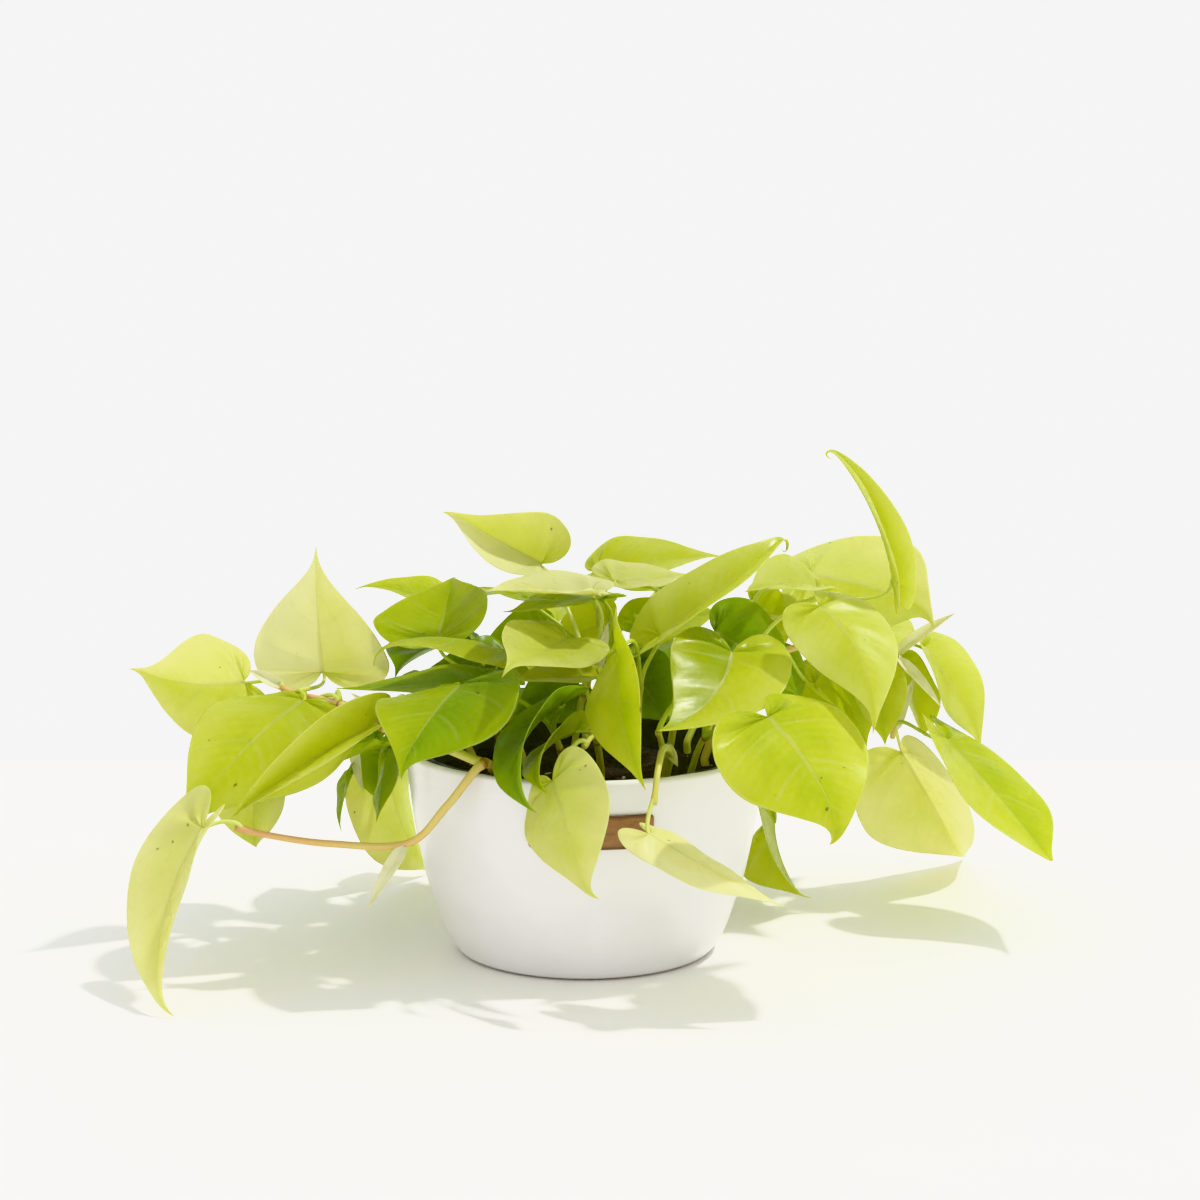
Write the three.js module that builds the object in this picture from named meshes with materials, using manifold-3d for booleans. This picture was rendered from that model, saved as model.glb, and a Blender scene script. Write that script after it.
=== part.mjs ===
// A neon philodendron with heart-shaped leaves, in a black nursery pot inside a glazed white pot.
// Millimetres, +Z up. The origin is the centre of the white pot's flat base; -Y is the front.
import * as THREE from "three";
import { mergeVertices } from "three/addons/utils/BufferGeometryUtils.js";
import Module from "manifold-3d";

const wasm = await Module();
wasm.setup();

// The white pot: its outside profile from the base up, as [radius, height].
const POT_HEIGHT = 106;
const POT_BASE_RADIUS = 62;
const POT_RIM_RADIUS = 92;
const POT_WALL = 4.5;
const POT_FLOOR = 6;
const POT_BASE_ROUND = 4;
const POT_RIM_BEVEL = 1;
const POT_SIDE = [
  [66, 1.5],
  [70, 7],
  [74, 15],
  [78, 27],
  [82, 39],
  [86.4, 60],
  [89, 76],
  [91, 94],
  [POT_RIM_RADIUS, POT_HEIGHT - 2],
];
const POT_FACETS = 40;

// The plate on the front of the pot, which follows its side.
const PLATE_WIDTH = 62;
const PLATE_HEIGHT = 17;
const PLATE_MIDDLE = 80.5;
const PLATE_ASIDE = 3.3;
const PLATE_THICKNESS = 1.2;
const PLATE_GAP = 0.4;
const PLATE_FACETS = 6;
const PLATE_STEPS = 2;

// The nursery pot and its soil.
const NURSERY_TOP = 104.5;
const NURSERY_TOP_RADIUS = 83;
const NURSERY_FOOT_RADIUS = 57;
const NURSERY_WALL = 1.2;
const NURSERY_LIP = 2.4;
const NURSERY_LIP_DEPTH = 3;
const DRAIN_HOLES = 6;
const DRAIN_RADIUS = 5;
const DRAIN_CIRCLE = 40;
const HOLE_SIDES = 6;
const SOIL_TOP = 92;
const SOIL_RELIEF = 1.6;
const LUMP_SIZE = 9;
const SOIL_RINGS = [1, 0.85, 0.6, 0.3];
const SOIL_FACETS = 24;

// What touches keeps this gap. Corners closer than the other distance are one corner.
const GAP = 0.3;
const MERGE_DISTANCE = 1e-4;

// The plant.
const BLADE_THICKNESS = 0.8;
const PETIOLE_RADIUS = 1.2;
const ROOT_DEPTH = 20;
const ROOT_CLEARANCE = 1.3;
const PETIOLE_LEAN = 0.1;
const PETIOLE_OVERLAP = 1;
const PETIOLE_HEADING = [0.75, 0, 0.65];
const LAST_NODE = 0.97;
const STEM_SIDES = 5;
const PETIOLE_SIDES = 3;
const STEM_STEP = 14;
const PETIOLE_STEPS = 4;

const UP = new THREE.Vector3(0, 0, 1);
const radians = THREE.MathUtils.degToRad;

// Joining and cutting: a closed geometry becomes a solid, facing out, and a solid becomes a geometry.
function solidOf(geometry) {
  const plain = geometry.clone();
  plain.deleteAttribute("normal");
  plain.deleteAttribute("uv");
  const merged = mergeVertices(plain, MERGE_DISTANCE);
  const corners = merged.index.array;
  const triVerts = [];
  for (let i = 0; i < corners.length; i += 3) {
    const [a, b, c] = [corners[i], corners[i + 1], corners[i + 2]];
    if (a !== b && b !== c && c !== a) triVerts.push(a, b, c);
  }
  const vertProperties = merged.attributes.position.array;
  const make = (list) =>
    new wasm.Manifold(new wasm.Mesh({ numProp: 3, vertProperties, triVerts: new Uint32Array(list) }));
  const solid = make(triVerts);
  return solid.volume() > 0 ? solid : make(triVerts.reverse());
}

function geometryOf(solid) {
  const mesh = solid.getMesh();
  const geometry = new THREE.BufferGeometry();
  geometry.setAttribute("position", new THREE.BufferAttribute(mesh.vertProperties, 3));
  geometry.setIndex(new THREE.BufferAttribute(mesh.triVerts, 1));
  geometry.computeVertexNormals();
  return geometry;
}

function joined(solids) {
  return solids.reduce((all, solid) => all.add(solid));
}

// A turned shape: the profile is [radius, height] pairs that start and end on the axis.
function turned(profile, facets) {
  const points = profile.map(([radius, height]) => new THREE.Vector2(radius, height));
  return new THREE.LatheGeometry(points, facets).rotateX(Math.PI / 2);
}

function mix(a, b, t) {
  return a + (b - a) * t;
}

// The radius of a profile at a height, on the straight line between its points.
function radiusAt(profile, height) {
  const above = profile.findIndex(([, z]) => z >= height);
  const [r1, z1] = profile[above];
  const [r0, z0] = profile[above - 1];
  return mix(r0, r1, (height - z0) / (z1 - z0));
}

// The inside follows the outside at every second point, and meets the floor in a small slope.
function potGeometry() {
  const inside = POT_SIDE.filter(([, z], i) => z > POT_FLOOR + POT_BASE_ROUND && i % 2 === 0)
    .map(([r, z]) => [r - POT_WALL, z])
    .reverse();
  const floorRadius = radiusAt(POT_SIDE, POT_FLOOR) - POT_WALL - POT_BASE_ROUND;
  const rim = [
    [POT_RIM_RADIUS - POT_RIM_BEVEL, POT_HEIGHT],
    [POT_RIM_RADIUS - POT_WALL + POT_RIM_BEVEL, POT_HEIGHT],
  ];
  const profile = [[0, 0], [POT_BASE_RADIUS, 0], ...POT_SIDE, ...rim, ...inside];
  profile.push([floorRadius, POT_FLOOR], [0, POT_FLOOR]);
  return turned(profile, POT_FACETS);
}

function plateGeometry() {
  const middleRadius = radiusAt(POT_SIDE, PLATE_MIDDLE);
  const inner = middleRadius + PLATE_GAP;
  const outer = inner + PLATE_THICKNESS;
  const half = PLATE_WIDTH / 2 / outer;
  const front = -Math.PI / 2 + PLATE_ASIDE / outer;
  const outline = new THREE.Shape();
  outline.absarc(0, 0, outer, front - half, front + half, false);
  outline.absarc(0, 0, inner, front + half, front - half, true);
  const plate = new THREE.ExtrudeGeometry(outline, {
    depth: PLATE_HEIGHT,
    steps: PLATE_STEPS,
    curveSegments: PLATE_FACETS,
    bevelEnabled: false,
  });
  plate.translate(0, 0, PLATE_MIDDLE - PLATE_HEIGHT / 2);
  const position = plate.attributes.position;
  for (let i = 0; i < position.count; i++) {
    const [x, y, z] = [position.getX(i), position.getY(i), position.getZ(i)];
    const radius = Math.hypot(x, y);
    const scale = (radius + radiusAt(POT_SIDE, z) - middleRadius) / radius;
    position.setXY(i, x * scale, y * scale);
  }
  return plate;
}

// What a plain upright hole cuts away, about its middle.
function roundHole(radius, length, [x, y, z]) {
  const hole = new THREE.CylinderGeometry(radius, radius, length, HOLE_SIDES);
  return solidOf(hole.rotateX(Math.PI / 2).translate(x, y, z));
}

// The nursery pot is a plain taper with a lip; the soil fills it.
const nurserySide = [
  [NURSERY_FOOT_RADIUS, POT_FLOOR + GAP],
  [NURSERY_TOP_RADIUS, NURSERY_TOP],
];

function nurseryGeometry() {
  const foot = POT_FLOOR + GAP;
  const lip = NURSERY_TOP_RADIUS + NURSERY_LIP;
  const profile = [
    [0, foot],
    nurserySide[0],
    [radiusAt(nurserySide, NURSERY_TOP - NURSERY_LIP_DEPTH), NURSERY_TOP - NURSERY_LIP_DEPTH],
    [lip, NURSERY_TOP - NURSERY_LIP_DEPTH],
    [lip, NURSERY_TOP],
    [NURSERY_TOP_RADIUS - NURSERY_WALL, NURSERY_TOP],
    [NURSERY_FOOT_RADIUS - NURSERY_WALL, foot + NURSERY_WALL],
    [0, foot + NURSERY_WALL],
  ];
  let solid = solidOf(turned(profile, POT_FACETS));
  for (let i = 0; i < DRAIN_HOLES; i++) {
    const turn = (i / DRAIN_HOLES) * 2 * Math.PI;
    const place = [DRAIN_CIRCLE * Math.cos(turn), DRAIN_CIRCLE * Math.sin(turn), foot];
    solid = solid.subtract(roundHole(DRAIN_RADIUS, 4 * NURSERY_WALL, place));
  }
  return geometryOf(solid);
}

// The soil lies in low lumps and sinks a little towards the pot's side.
function soilHeight(x, y) {
  const edge = Math.hypot(x, y) / NURSERY_TOP_RADIUS;
  const broad = Math.sin(x / LUMP_SIZE + 1) * Math.cos(y / LUMP_SIZE);
  const narrow = Math.sin((x - 3 * y) / (2 * LUMP_SIZE));
  return SOIL_TOP + SOIL_RELIEF * (broad + narrow / 2 - edge * edge);
}

// Each rooted stem stands in a plain hole in the soil, a little deeper than its root.
function soilGeometry(vines) {
  const bottom = POT_FLOOR + NURSERY_WALL + 2 * GAP;
  const flatShare = Math.cos(Math.PI / POT_FACETS);
  const radius = (z) => (radiusAt(nurserySide, z) - NURSERY_WALL) * flatShare - 2 * GAP;
  const topRadius = radius(SOIL_TOP - 3 * SOIL_RELIEF);
  const rings = SOIL_RINGS.map((share) => [share * topRadius, SOIL_TOP]);
  const profile = [[0, bottom], [radius(bottom - NURSERY_WALL), bottom], ...rings, [0, SOIL_TOP]];
  const soil = turned(profile, SOIL_FACETS);
  const position = soil.attributes.position;
  for (let i = 0; i < position.count; i++) {
    if (position.getZ(i) > bottom + 1) {
      position.setZ(i, soilHeight(position.getX(i), position.getY(i)));
    }
  }
  const holes = vines.map((vine) => {
    const [x, y] = vine.stems[0][0];
    return roundHole(vine.radius + ROOT_CLEARANCE, 2 * (ROOT_DEPTH + 2 * GAP), [x, y, SOIL_TOP]);
  });
  return geometryOf(holes.reduce((solid, hole) => solid.subtract(hole), solidOf(soil)));
}

// A leaf is a heart with a long drip tip. These are the points of half its outline: along the midrib, as a
// share of the leaf's length, sideways, as a share of its half width, and where the point's vein leaves the
// midrib. The lobes reach behind the place where the petiole joins.
const LEAF_OUTLINE = [
  [0, 0, 0],
  [-0.1, 0.16, 0],
  [-0.155, 0.48, 0],
  [-0.1, 0.8, 0],
  [0.08, 0.99, 0],
  [0.27, 0.98, 0.08],
  [0.45, 0.82, 0.22],
  [0.61, 0.57, 0.38],
  [0.74, 0.34, 0.55],
  [0.86, 0.13, 0.74],
  [1, 0, 1],
];
const SHEATH_OUTLINE = [
  [0, 0, 0],
  [0.2, 0.9, 0.1],
  [0.6, 0.8, 0.5],
  [1, 0, 1],
];
const MIDRIB_START = -0.2;
const MIDRIB_STEPS = 120;
const CURL_START = 0.72;
const FOLD_SOFTNESS = 0.03;
const RIPPLES = 1.6;
const RIPPLE_LAG = 0.9;

// How a leaf bends, where its own row doesn't say. "arch" bends the midrib down, "hook" curls its tip,
// "sweep" bends it sideways, "twist" turns the blade about it and "fold" lifts both halves, all in degrees.
// "wave" is how far the edge ripples. "rise" and "bend" are how far the petiole's two ends run straight on,
// as shares of its reach.
const LEAF_SHAPE = { arch: 30, hook: 25, sweep: 0, twist: 0, fold: 12, wave: 1.2, rise: 0.3, bend: 0.35 };
const SHEATH_SHAPE = { arch: 20, hook: 0, sweep: 0, twist: 0, fold: 35, wave: 0 };

// The midrib of a leaf one unit long, as places and directions.
function midribOf({ arch, hook, sweep, twist }) {
  const samples = [];
  const place = new THREE.Vector3();
  const step = (1 - MIDRIB_START) / MIDRIB_STEPS;
  for (let i = 0; i <= MIDRIB_STEPS; i++) {
    const s = MIDRIB_START + i * step;
    const curl = Math.max(0, (s - CURL_START) / (1 - CURL_START));
    const pitch = radians(arch) * (0.5 - s) - radians(hook) * curl * curl;
    const yaw = radians(sweep) * (s - 0.5);
    const turn = radians(twist) * s;
    const along = new THREE.Vector3(
      Math.cos(pitch) * Math.cos(yaw),
      Math.cos(pitch) * Math.sin(yaw),
      Math.sin(pitch),
    );
    const flat = new THREE.Vector3(-Math.sin(yaw), Math.cos(yaw), 0);
    const side = flat.applyAxisAngle(along, turn);
    const up = along.clone().cross(side);
    if (i > 0) place.addScaledVector(along.clone().add(samples[i - 1].along), step / 2);
    samples.push({ s, place: place.clone(), along, side, up });
  }
  const start = samples[Math.round(-MIDRIB_START / step)].place.clone();
  samples.forEach((sample) => sample.place.sub(start));
  return samples;
}

function sampleAt(samples, s) {
  const i = ((s - MIDRIB_START) / (1 - MIDRIB_START)) * MIDRIB_STEPS;
  const before = samples[Math.min(MIDRIB_STEPS - 1, Math.max(0, Math.floor(i)))];
  const after = samples[samples.indexOf(before) + 1];
  const t = i - samples.indexOf(before);
  const between = (key) => before[key].clone().lerp(after[key], t);
  return { place: between("place"), side: between("side"), up: between("up") };
}

// The turn that takes a chord and the direction most nearly "up" across it to another such pair.
function frameOf(chord, facing) {
  const along = chord.clone().normalize();
  const up = facing.clone().addScaledVector(along, -facing.dot(along)).normalize();
  return new THREE.Matrix4().makeBasis(along, up.clone().cross(along), up);
}

// Places points of the flat leaf, given along and sideways as in the outlines, on the leaf in the pot. The
// blade folds up along its midrib and ripples towards its edge.
function bladeShaper(leaf) {
  const samples = midribOf(leaf);
  const base = new THREE.Vector3(...leaf.base);
  const chord = new THREE.Vector3(...leaf.tip).sub(base);
  const flatChord = samples[MIDRIB_STEPS].place;
  const scale = chord.length() / flatChord.length();
  const turn = frameOf(chord, new THREE.Vector3(...leaf.face)).multiply(frameOf(flatChord, UP).invert());
  const { fold, wave } = leaf;
  return (along, sideways) => {
    const { place, side, up } = sampleAt(samples, along);
    const out = Math.abs(sideways);
    const hand = Math.sign(sideways);
    const lift = radians(fold) * (out / (out + FOLD_SOFTNESS));
    const reach = (out * leaf.width) / 2;
    const ripple = wave * out * out * Math.sin(2 * Math.PI * along * RIPPLES + hand * RIPPLE_LAG);
    const point = place.multiplyScalar(scale);
    point.addScaledVector(side, hand * reach * Math.cos(lift));
    point.addScaledVector(up, reach * Math.sin(lift) + ripple);
    const normal = up.multiplyScalar(Math.cos(lift)).addScaledVector(side, -hand * Math.sin(lift));
    return { point: point.applyMatrix4(turn).add(base), normal: normal.transformDirection(turn) };
  };
}

// A thin closed blade: both halves of the outline, triangulated alike on the upper and the lower face.
function bladeSolid(leaf, outline) {
  const shape = bladeShaper(leaf);
  const positions = [];
  const corners = [];
  const vertex = (along, sideways) => {
    const { point, normal } = shape(along, sideways);
    for (const half of [0.5, -0.5]) {
      positions.push(...point.clone().addScaledVector(normal, half * BLADE_THICKNESS).toArray());
    }
    return positions.length / 3 - 2;
  };
  const midrib = new Map();
  const onMidrib = (s) => {
    if (!midrib.has(s)) midrib.set(s, vertex(s, 0));
    return midrib.get(s);
  };
  const last = outline.length - 1;
  for (const hand of [1, -1]) {
    const edge = outline.map(([along, sideways], i) =>
      i === 0 || i === last ? onMidrib(along) : vertex(along, hand * sideways),
    );
    const face = (a, b, c) => {
      if (a === b || b === c || c === a) return;
      const [p, q, r] = hand > 0 ? [a, b, c] : [c, b, a];
      corners.push(p, q, r, r + 1, q + 1, p + 1);
    };
    for (let i = 0; i < last; i++) {
      const [from, to] = [onMidrib(outline[i][2]), onMidrib(outline[i + 1][2])];
      face(from, edge[i + 1], edge[i]);
      face(from, to, edge[i + 1]);
      const [a, b] = hand > 0 ? [edge[i], edge[i + 1]] : [edge[i + 1], edge[i]];
      corners.push(a, b, b + 1, a, b + 1, a + 1);
    }
  }
  const geometry = new THREE.BufferGeometry();
  geometry.setAttribute("position", new THREE.Float32BufferAttribute(positions, 3));
  geometry.setIndex(corners);
  return solidOf(geometry);
}

// A tube along a curve, with few sides.
function tubeSolid(curve, radius, sides, steps) {
  const section = new THREE.Shape();
  for (let i = 0; i < sides; i++) {
    const turn = (i / sides) * 2 * Math.PI;
    const [x, y] = [radius * Math.cos(turn), radius * Math.sin(turn)];
    if (i === 0) section.moveTo(x, y);
    else section.lineTo(x, y);
  }
  return solidOf(new THREE.ExtrudeGeometry(section, { steps, extrudePath: curve, bevelEnabled: false }));
}

function curveOf(points) {
  const places = points.map((point) => new THREE.Vector3(...point));
  return new THREE.CatmullRomCurve3(places, false, "catmullrom", 0.5);
}

// The petiole leaves its stem upwards, meets the blade from behind and below, and ends a little inside it.
function petioleSolid(leaf, start) {
  const base = new THREE.Vector3(...leaf.base);
  const chord = new THREE.Vector3(...leaf.tip).sub(base);
  const turn = frameOf(chord, new THREE.Vector3(...leaf.face));
  const reach = base.distanceTo(start);
  const leave = start.clone().lerp(base, PETIOLE_LEAN);
  leave.addScaledVector(UP, leaf.rise * reach);
  const heading = new THREE.Vector3(...PETIOLE_HEADING).normalize().transformDirection(turn);
  const arrive = base.clone().addScaledVector(heading, -leaf.bend * reach);
  const end = base.clone().addScaledVector(chord.normalize(), PETIOLE_OVERLAP);
  const curve = new THREE.CubicBezierCurve3(start, leave, arrive, end);
  return tubeSolid(curve, PETIOLE_RADIUS, PETIOLE_SIDES, PETIOLE_STEPS);
}

function vineGeometry({ stems, radius, leaves, sheaths }) {
  const solids = stems.map((points, i) => {
    const [x, y] = points[0];
    const path = i === 0 ? [[x, y, SOIL_TOP - ROOT_DEPTH], ...points] : points;
    const curve = curveOf(path);
    return tubeSolid(curve, radius, STEM_SIDES, Math.ceil(curve.getLength() / STEM_STEP));
  });
  const curves = stems.map(curveOf);
  const onStem = ({ stem, at }) => {
    const share = at / (stems[stem].length - 1);
    return curves[stem].getPoint(Math.min(LAST_NODE, share));
  };
  for (const leaf of leaves) {
    solids.push(petioleSolid(leaf, onStem(leaf)), bladeSolid(leaf, LEAF_OUTLINE));
  }
  for (const sheath of sheaths) {
    solids.push(bladeSolid({ ...sheath, base: onStem(sheath).toArray() }, SHEATH_OUTLINE));
  }
  return geometryOf(joined(solids));
}

// A leaf grows from the point "at" along one of its vine's stems, counted in the stem's own points. Its
// petiole joins the blade at "base", "face" is where the blade's upper side looks, and "shape" changes the
// common leaf shape.
function leaf(stem, at, base, tip, face, width, shape = {}) {
  return { stem, at, base, tip, face, width, ...LEAF_SHAPE, ...shape };
}

// A dry sheath that once wrapped a young leaf: a small folded blade that starts in the stem.
function sheath(stem, at, tip, face, width) {
  return { stem, at, tip, face, width, ...SHEATH_SHAPE };
}

function vine(name, stems, radius, leaves, sheaths = []) {
  return { name, stems, radius, leaves, sheaths };
}

// The plant, vine by vine, in millimetres.
const VINES = [
  vine(
    "vine_left",
    [
      [
        [-42, -52, 92], [-43, -56, 100], [-49, -78, 112], [-66, -80, 92], [-86, -76, 72],
        [-124, -72, 71], [-153, -72, 75], [-170, -72, 79],
      ],
      [
        [-49, -78, 112], [-72, -62, 118], [-100, -38, 122], [-124, -14, 129], [-148, 4, 131],
        [-158, 20, 132],
      ],
    ],
    2.3,
    [
      leaf(1, 5, [-179, 31, 133], [-232, -11, 147], [-0.1, -0.9, 0.5], 62,
        { arch: -10, hook: -20, sweep: -30, twist: -25, fold: -15 }),
      leaf(1, 4, [-139, 43, 136], [-141, 40, 204], [-0.25, -0.95, 0.2], 80,
        { arch: 15, hook: 10, twist: -45, fold: 0, bend: 0.5, rise: 0.1 }),
      leaf(1, 4, [-143, -13, 131], [-196, -61, 70], [-0.35, -0.7, 0.6], 84,
        { arch: 40, hook: 50, sweep: -5, twist: -35, fold: -15 }),
      leaf(1, 2, [-107, -41, 122], [-175, -58, 79], [0.05, -0.85, 0.55], 46,
        { arch: 50, hook: 40, sweep: -5, twist: -15, fold: 65 }),
      leaf(1, 3, [-171, 21, 82], [-173, 24, 45], [-0.15, -0.95, 0.2], 48,
        { arch: 50, hook: 35, sweep: 10, fold: 35 }),
      leaf(1, 2, [-108, 4, 108], [-178, -14, 76], [-0.1, -0.3, 0.95], 44),
      leaf(0, 7, [-185, -77, 80], [-192, -127, 1], [-0.75, -0.65, 0.1], 58,
        { arch: 20, hook: 40, sweep: 50, twist: -10, fold: 20 }),
      leaf(1, 3, [-150, 54, 108], [-192, 90, 76], [-0.5, 0.4, 0.75], 50),
    ],
    [
      sheath(0, 4, [-104, -94, 44], [-0.2, -0.9, 0.3], 9),
      sheath(1, 5, [-176, 26, 140], [-0.2, -0.8, 0.6], 8),
      sheath(1, 2, [-118, -22, 137], [0.2, -0.7, 0.6], 7),
    ],
  ),
  vine(
    "vine_left_inner",
    [
      [
        [-58, 12, 92], [-60, 14, 100], [-72, 20, 116], [-92, 26, 118], [-110, 34, 107], [-122, 38, 94],
      ],
    ],
    1.9,
    [
      leaf(0, 4, [-107, 61, 89], [-114, 74, 60], [-0.4, -0.9, 0.1], 36, { arch: 25, sweep: 5, fold: 65 }),
      leaf(0, 5, [-124, 40, 83], [-129, 31, 52], [-0.95, -0.15, 0.15], 24,
        { arch: 20, sweep: 10, twist: -15 }),
      leaf(0, 3, [-104, 22, 99], [-111, 37, 56], [0.85, -0.4, 0.25], 34,
        { arch: 10, hook: 0, sweep: 20, twist: 10 }),
      leaf(0, 3, [-112, 82, 90], [-119, 88, 58], [0.2, -0.9, 0.4], 34),
    ],
    [
      sheath(0, 5, [-117, 30, 74], [-0.5, -0.8, 0], 8),
    ],
  ),
  vine(
    "vine_back_left",
    [
      [
        [-45, 46, 92], [-46, 50, 100], [-54, 64, 116], [-72, 84, 112], [-96, 106, 92], [-112, 116, 76],
      ],
    ],
    2,
    [
      leaf(0, 5, [-111, 120, 64], [-91, 146, 1], [0.15, -0.55, 0.85], 70,
        { arch: 0, hook: 20, sweep: 50, twist: -10, fold: -15 }),
      leaf(0, 2, [-76, 58, 148], [-106, 102, 122], [-0.4, 0.6, 0.7], 50),
      leaf(0, 4, [-107, 84, 109], [-142, 124, 76], [-0.5, 0.5, 0.7], 50),
      leaf(0, 3, [-42, 90, 136], [-50, 140, 100], [-0.1, 0.7, 0.7], 54),
      leaf(0, 1, [-62, 22, 130], [-98, 42, 134], [-0.3, 0.3, 0.9], 44),
    ],
  ),
  vine(
    "vine_mid_left",
    [
      [
        [-30, -16, 92], [-31, -14, 100], [-38, -8, 118], [-52, 0, 134],
      ],
    ],
    2,
    [
      leaf(0, 3, [-76, 8, 157], [-69, 50, 186], [-0.3, -0.75, 0.6], 70,
        { arch: -10, hook: 50, twist: -10, fold: 25 }),
      leaf(0, 3, [-75, 66, 168], [-124, 66, 177], [0, -0.2, 1], 40),
      leaf(0, 2, [-40, 16, 142], [-80, 4, 145], [-0.1, -0.5, 0.85], 40),
      leaf(0, 2, [-37, -22, 156], [-105, -44, 154], [0.05, -0.1, 1], 46,
        { arch: 45, hook: 80, sweep: 15, twist: 10, fold: -15 }),
      leaf(0, 1.6, [-47, -21, 142], [-125, -34, 141], [0, -0.15, 1], 44,
        { arch: 5, hook: -10, sweep: -5, fold: 5 }),
    ],
    [
      sheath(0, 3, [-44, -16, 150], [0.3, -0.8, 0.4], 7),
    ],
  ),
  vine(
    "vine_front_left",
    [
      [
        [-10, -42, 92], [-10, -43, 98], [-12, -46, 112], [-16, -50, 124],
      ],
    ],
    2,
    [
      leaf(0, 2, [-60, -70, 149], [-86, -113, 111], [-0.5, -0.45, 0.75], 78,
        { hook: 35, sweep: -10, twist: -45, fold: -5 }),
      leaf(0, 3, [-12, -70, 139], [-22, -118, 96], [-0.85, -0.45, 0.25], 52,
        { arch: 70, hook: 50, sweep: 45, twist: 5, fold: 15 }),
    ],
  ),
  vine(
    "vine_top",
    [
      [
        [-6, 2, 92], [-6, 3, 100], [-3, 2, 122], [2, 0, 140],
      ],
    ],
    2,
    [
      leaf(0, 3, [-23, 23, 196], [-74, 17, 224], [-0.2, -0.7, 0.65], 56,
        { arch: -10, hook: 55, twist: -45, fold: 50 }),
      leaf(0, 2.5, [4, -30, 188], [-49, -56, 193], [0, -0.1, 1], 56,
        { arch: -10, hook: 10, sweep: 45, twist: 5 }),
      leaf(0, 2, [9, -11, 183], [-41, -37, 180], [0, 0.15, 1], 44,
        { arch: 15, hook: -20, sweep: 15, twist: -20, fold: 5 }),
    ],
    [
      sheath(0, 3, [12, -10, 172], [0.4, -0.8, 0.2], 9),
    ],
  ),
  vine(
    "vine_front",
    [
      [
        [8, -28, 92], [8, -30, 100], [6, -44, 116], [4, -60, 122], [0, -76, 120],
      ],
    ],
    2,
    [
      leaf(0, 2, [-9, -41, 167], [-39, -104, 158], [0.05, -0.55, 0.85], 52,
        { arch: -10, hook: 70, twist: -5, fold: 5 }),
      leaf(0, 3, [-4, -62, 125], [-16, -111, 103], [-0.7, -0.7, 0.1], 34,
        { arch: 65, hook: 65, sweep: 40 }),
      leaf(0, 4, [-15, -104, 109], [8, -141, 60], [-0.4, -0.9, -0.1], 52,
        { arch: 10, hook: 70, sweep: -10, twist: -25, fold: -10 }),
      leaf(0, 2, [7, -30, 146], [-38, -46, 148], [0, -0.05, 1], 44, { arch: 10, hook: -20, twist: -15 }),
    ],
  ),
  vine(
    "vine_centre",
    [
      [
        [26, -8, 92], [26, -9, 100], [27, -14, 122], [28, -20, 140],
      ],
    ],
    2,
    [
      leaf(0, 3, [38, -25, 166], [101, 1, 207], [-0.55, -0.5, 0.65], 40,
        { hook: 50, sweep: 50, twist: 15, fold: 30 }),
      leaf(0, 3, [16, -69, 166], [29, -124, 108], [-0.9, -0.45, -0.15], 52,
        { arch: 25, hook: 5, sweep: -10, twist: -45 }),
      leaf(0, 2, [30, 24, 160], [74, 44, 166], [0.1, -0.3, 0.95], 48),
    ],
  ),
  vine(
    "vine_front_right",
    [
      [
        [40, -42, 92], [40, -44, 98], [38, -52, 116], [36, -60, 124],
      ],
      [
        [40, -43, 96], [42, -56, 112], [38, -78, 119], [35, -98, 112], [33, -105, 98],
      ],
    ],
    2,
    [
      leaf(0, 3, [73, -39, 160], [34, -100, 132], [0, -0.75, 0.65], 62,
        { arch: 0, hook: -20, sweep: -50, twist: 5 }),
      leaf(1, 4, [31, -111, 85], [94, -140, 57], [0.05, -0.25, 0.95], 32,
        { arch: 10, hook: -5, sweep: 25, twist: 10, fold: -15 }),
    ],
    [
      sheath(0, 2, [46, -58, 106], [0.4, -0.8, 0.2], 8),
    ],
  ),
  vine(
    "vine_back_top",
    [
      [
        [16, 40, 92], [16, 41, 100], [14, 42, 126], [14, 42, 146],
      ],
    ],
    2,
    [
      leaf(0, 3, [6, 61, 187], [75, 59, 195], [0, -0.4, 0.9], 50,
        { arch: 35, hook: 15, sweep: 35, twist: -5, fold: 10 }),
      leaf(0, 2, [14, 11, 189], [55, 28, 190], [0, -0.25, 0.95], 40,
        { arch: -10, hook: 10, sweep: -5, twist: 5, fold: 10 }),
      leaf(0, 3, [38, 84, 174], [64, 132, 162], [0.2, 0.5, 0.85], 54),
      leaf(0, 2, [-30, 52, 174], [-64, 94, 164], [-0.3, 0.4, 0.85], 54),
    ],
  ),
  vine(
    "vine_mid_right",
    [
      [
        [54, -22, 92], [54, -24, 98], [60, -34, 116], [72, -48, 124],
      ],
    ],
    2,
    [
      leaf(0, 2, [87, -100, 139], [115, -123, 82], [0.65, -0.55, 0.5], 98,
        { arch: 25, hook: 90, sweep: -15, twist: 35, fold: -5, bend: 0.1, rise: 0 }),
      leaf(0, 2, [116, -45, 184], [138, -91, 128], [0.25, -0.8, 0.5], 50,
        { sweep: -40, twist: 45, fold: -15, rise: 0.1, bend: 0.55 }),
      leaf(0, 2, [66, -5, 165], [109, -15, 132], [-0.1, -0.6, 0.75], 50),
    ],
  ),
  vine(
    "vine_upper_right",
    [
      [
        [44, 18, 92], [44, 18, 100], [50, 14, 130], [62, 8, 156], [84, 6, 170], [106, 6, 170],
      ],
    ],
    2,
    [
      leaf(0, 4, [120, 63, 185], [181, 15, 163], [0, -0.45, 0.9], 90,
        { arch: -10, hook: 70, sweep: -50, twist: 45, fold: -5 }),
      leaf(0, 5, [120, 20, 183], [81, 4, 184], [0, -0.15, 1], 56,
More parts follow.
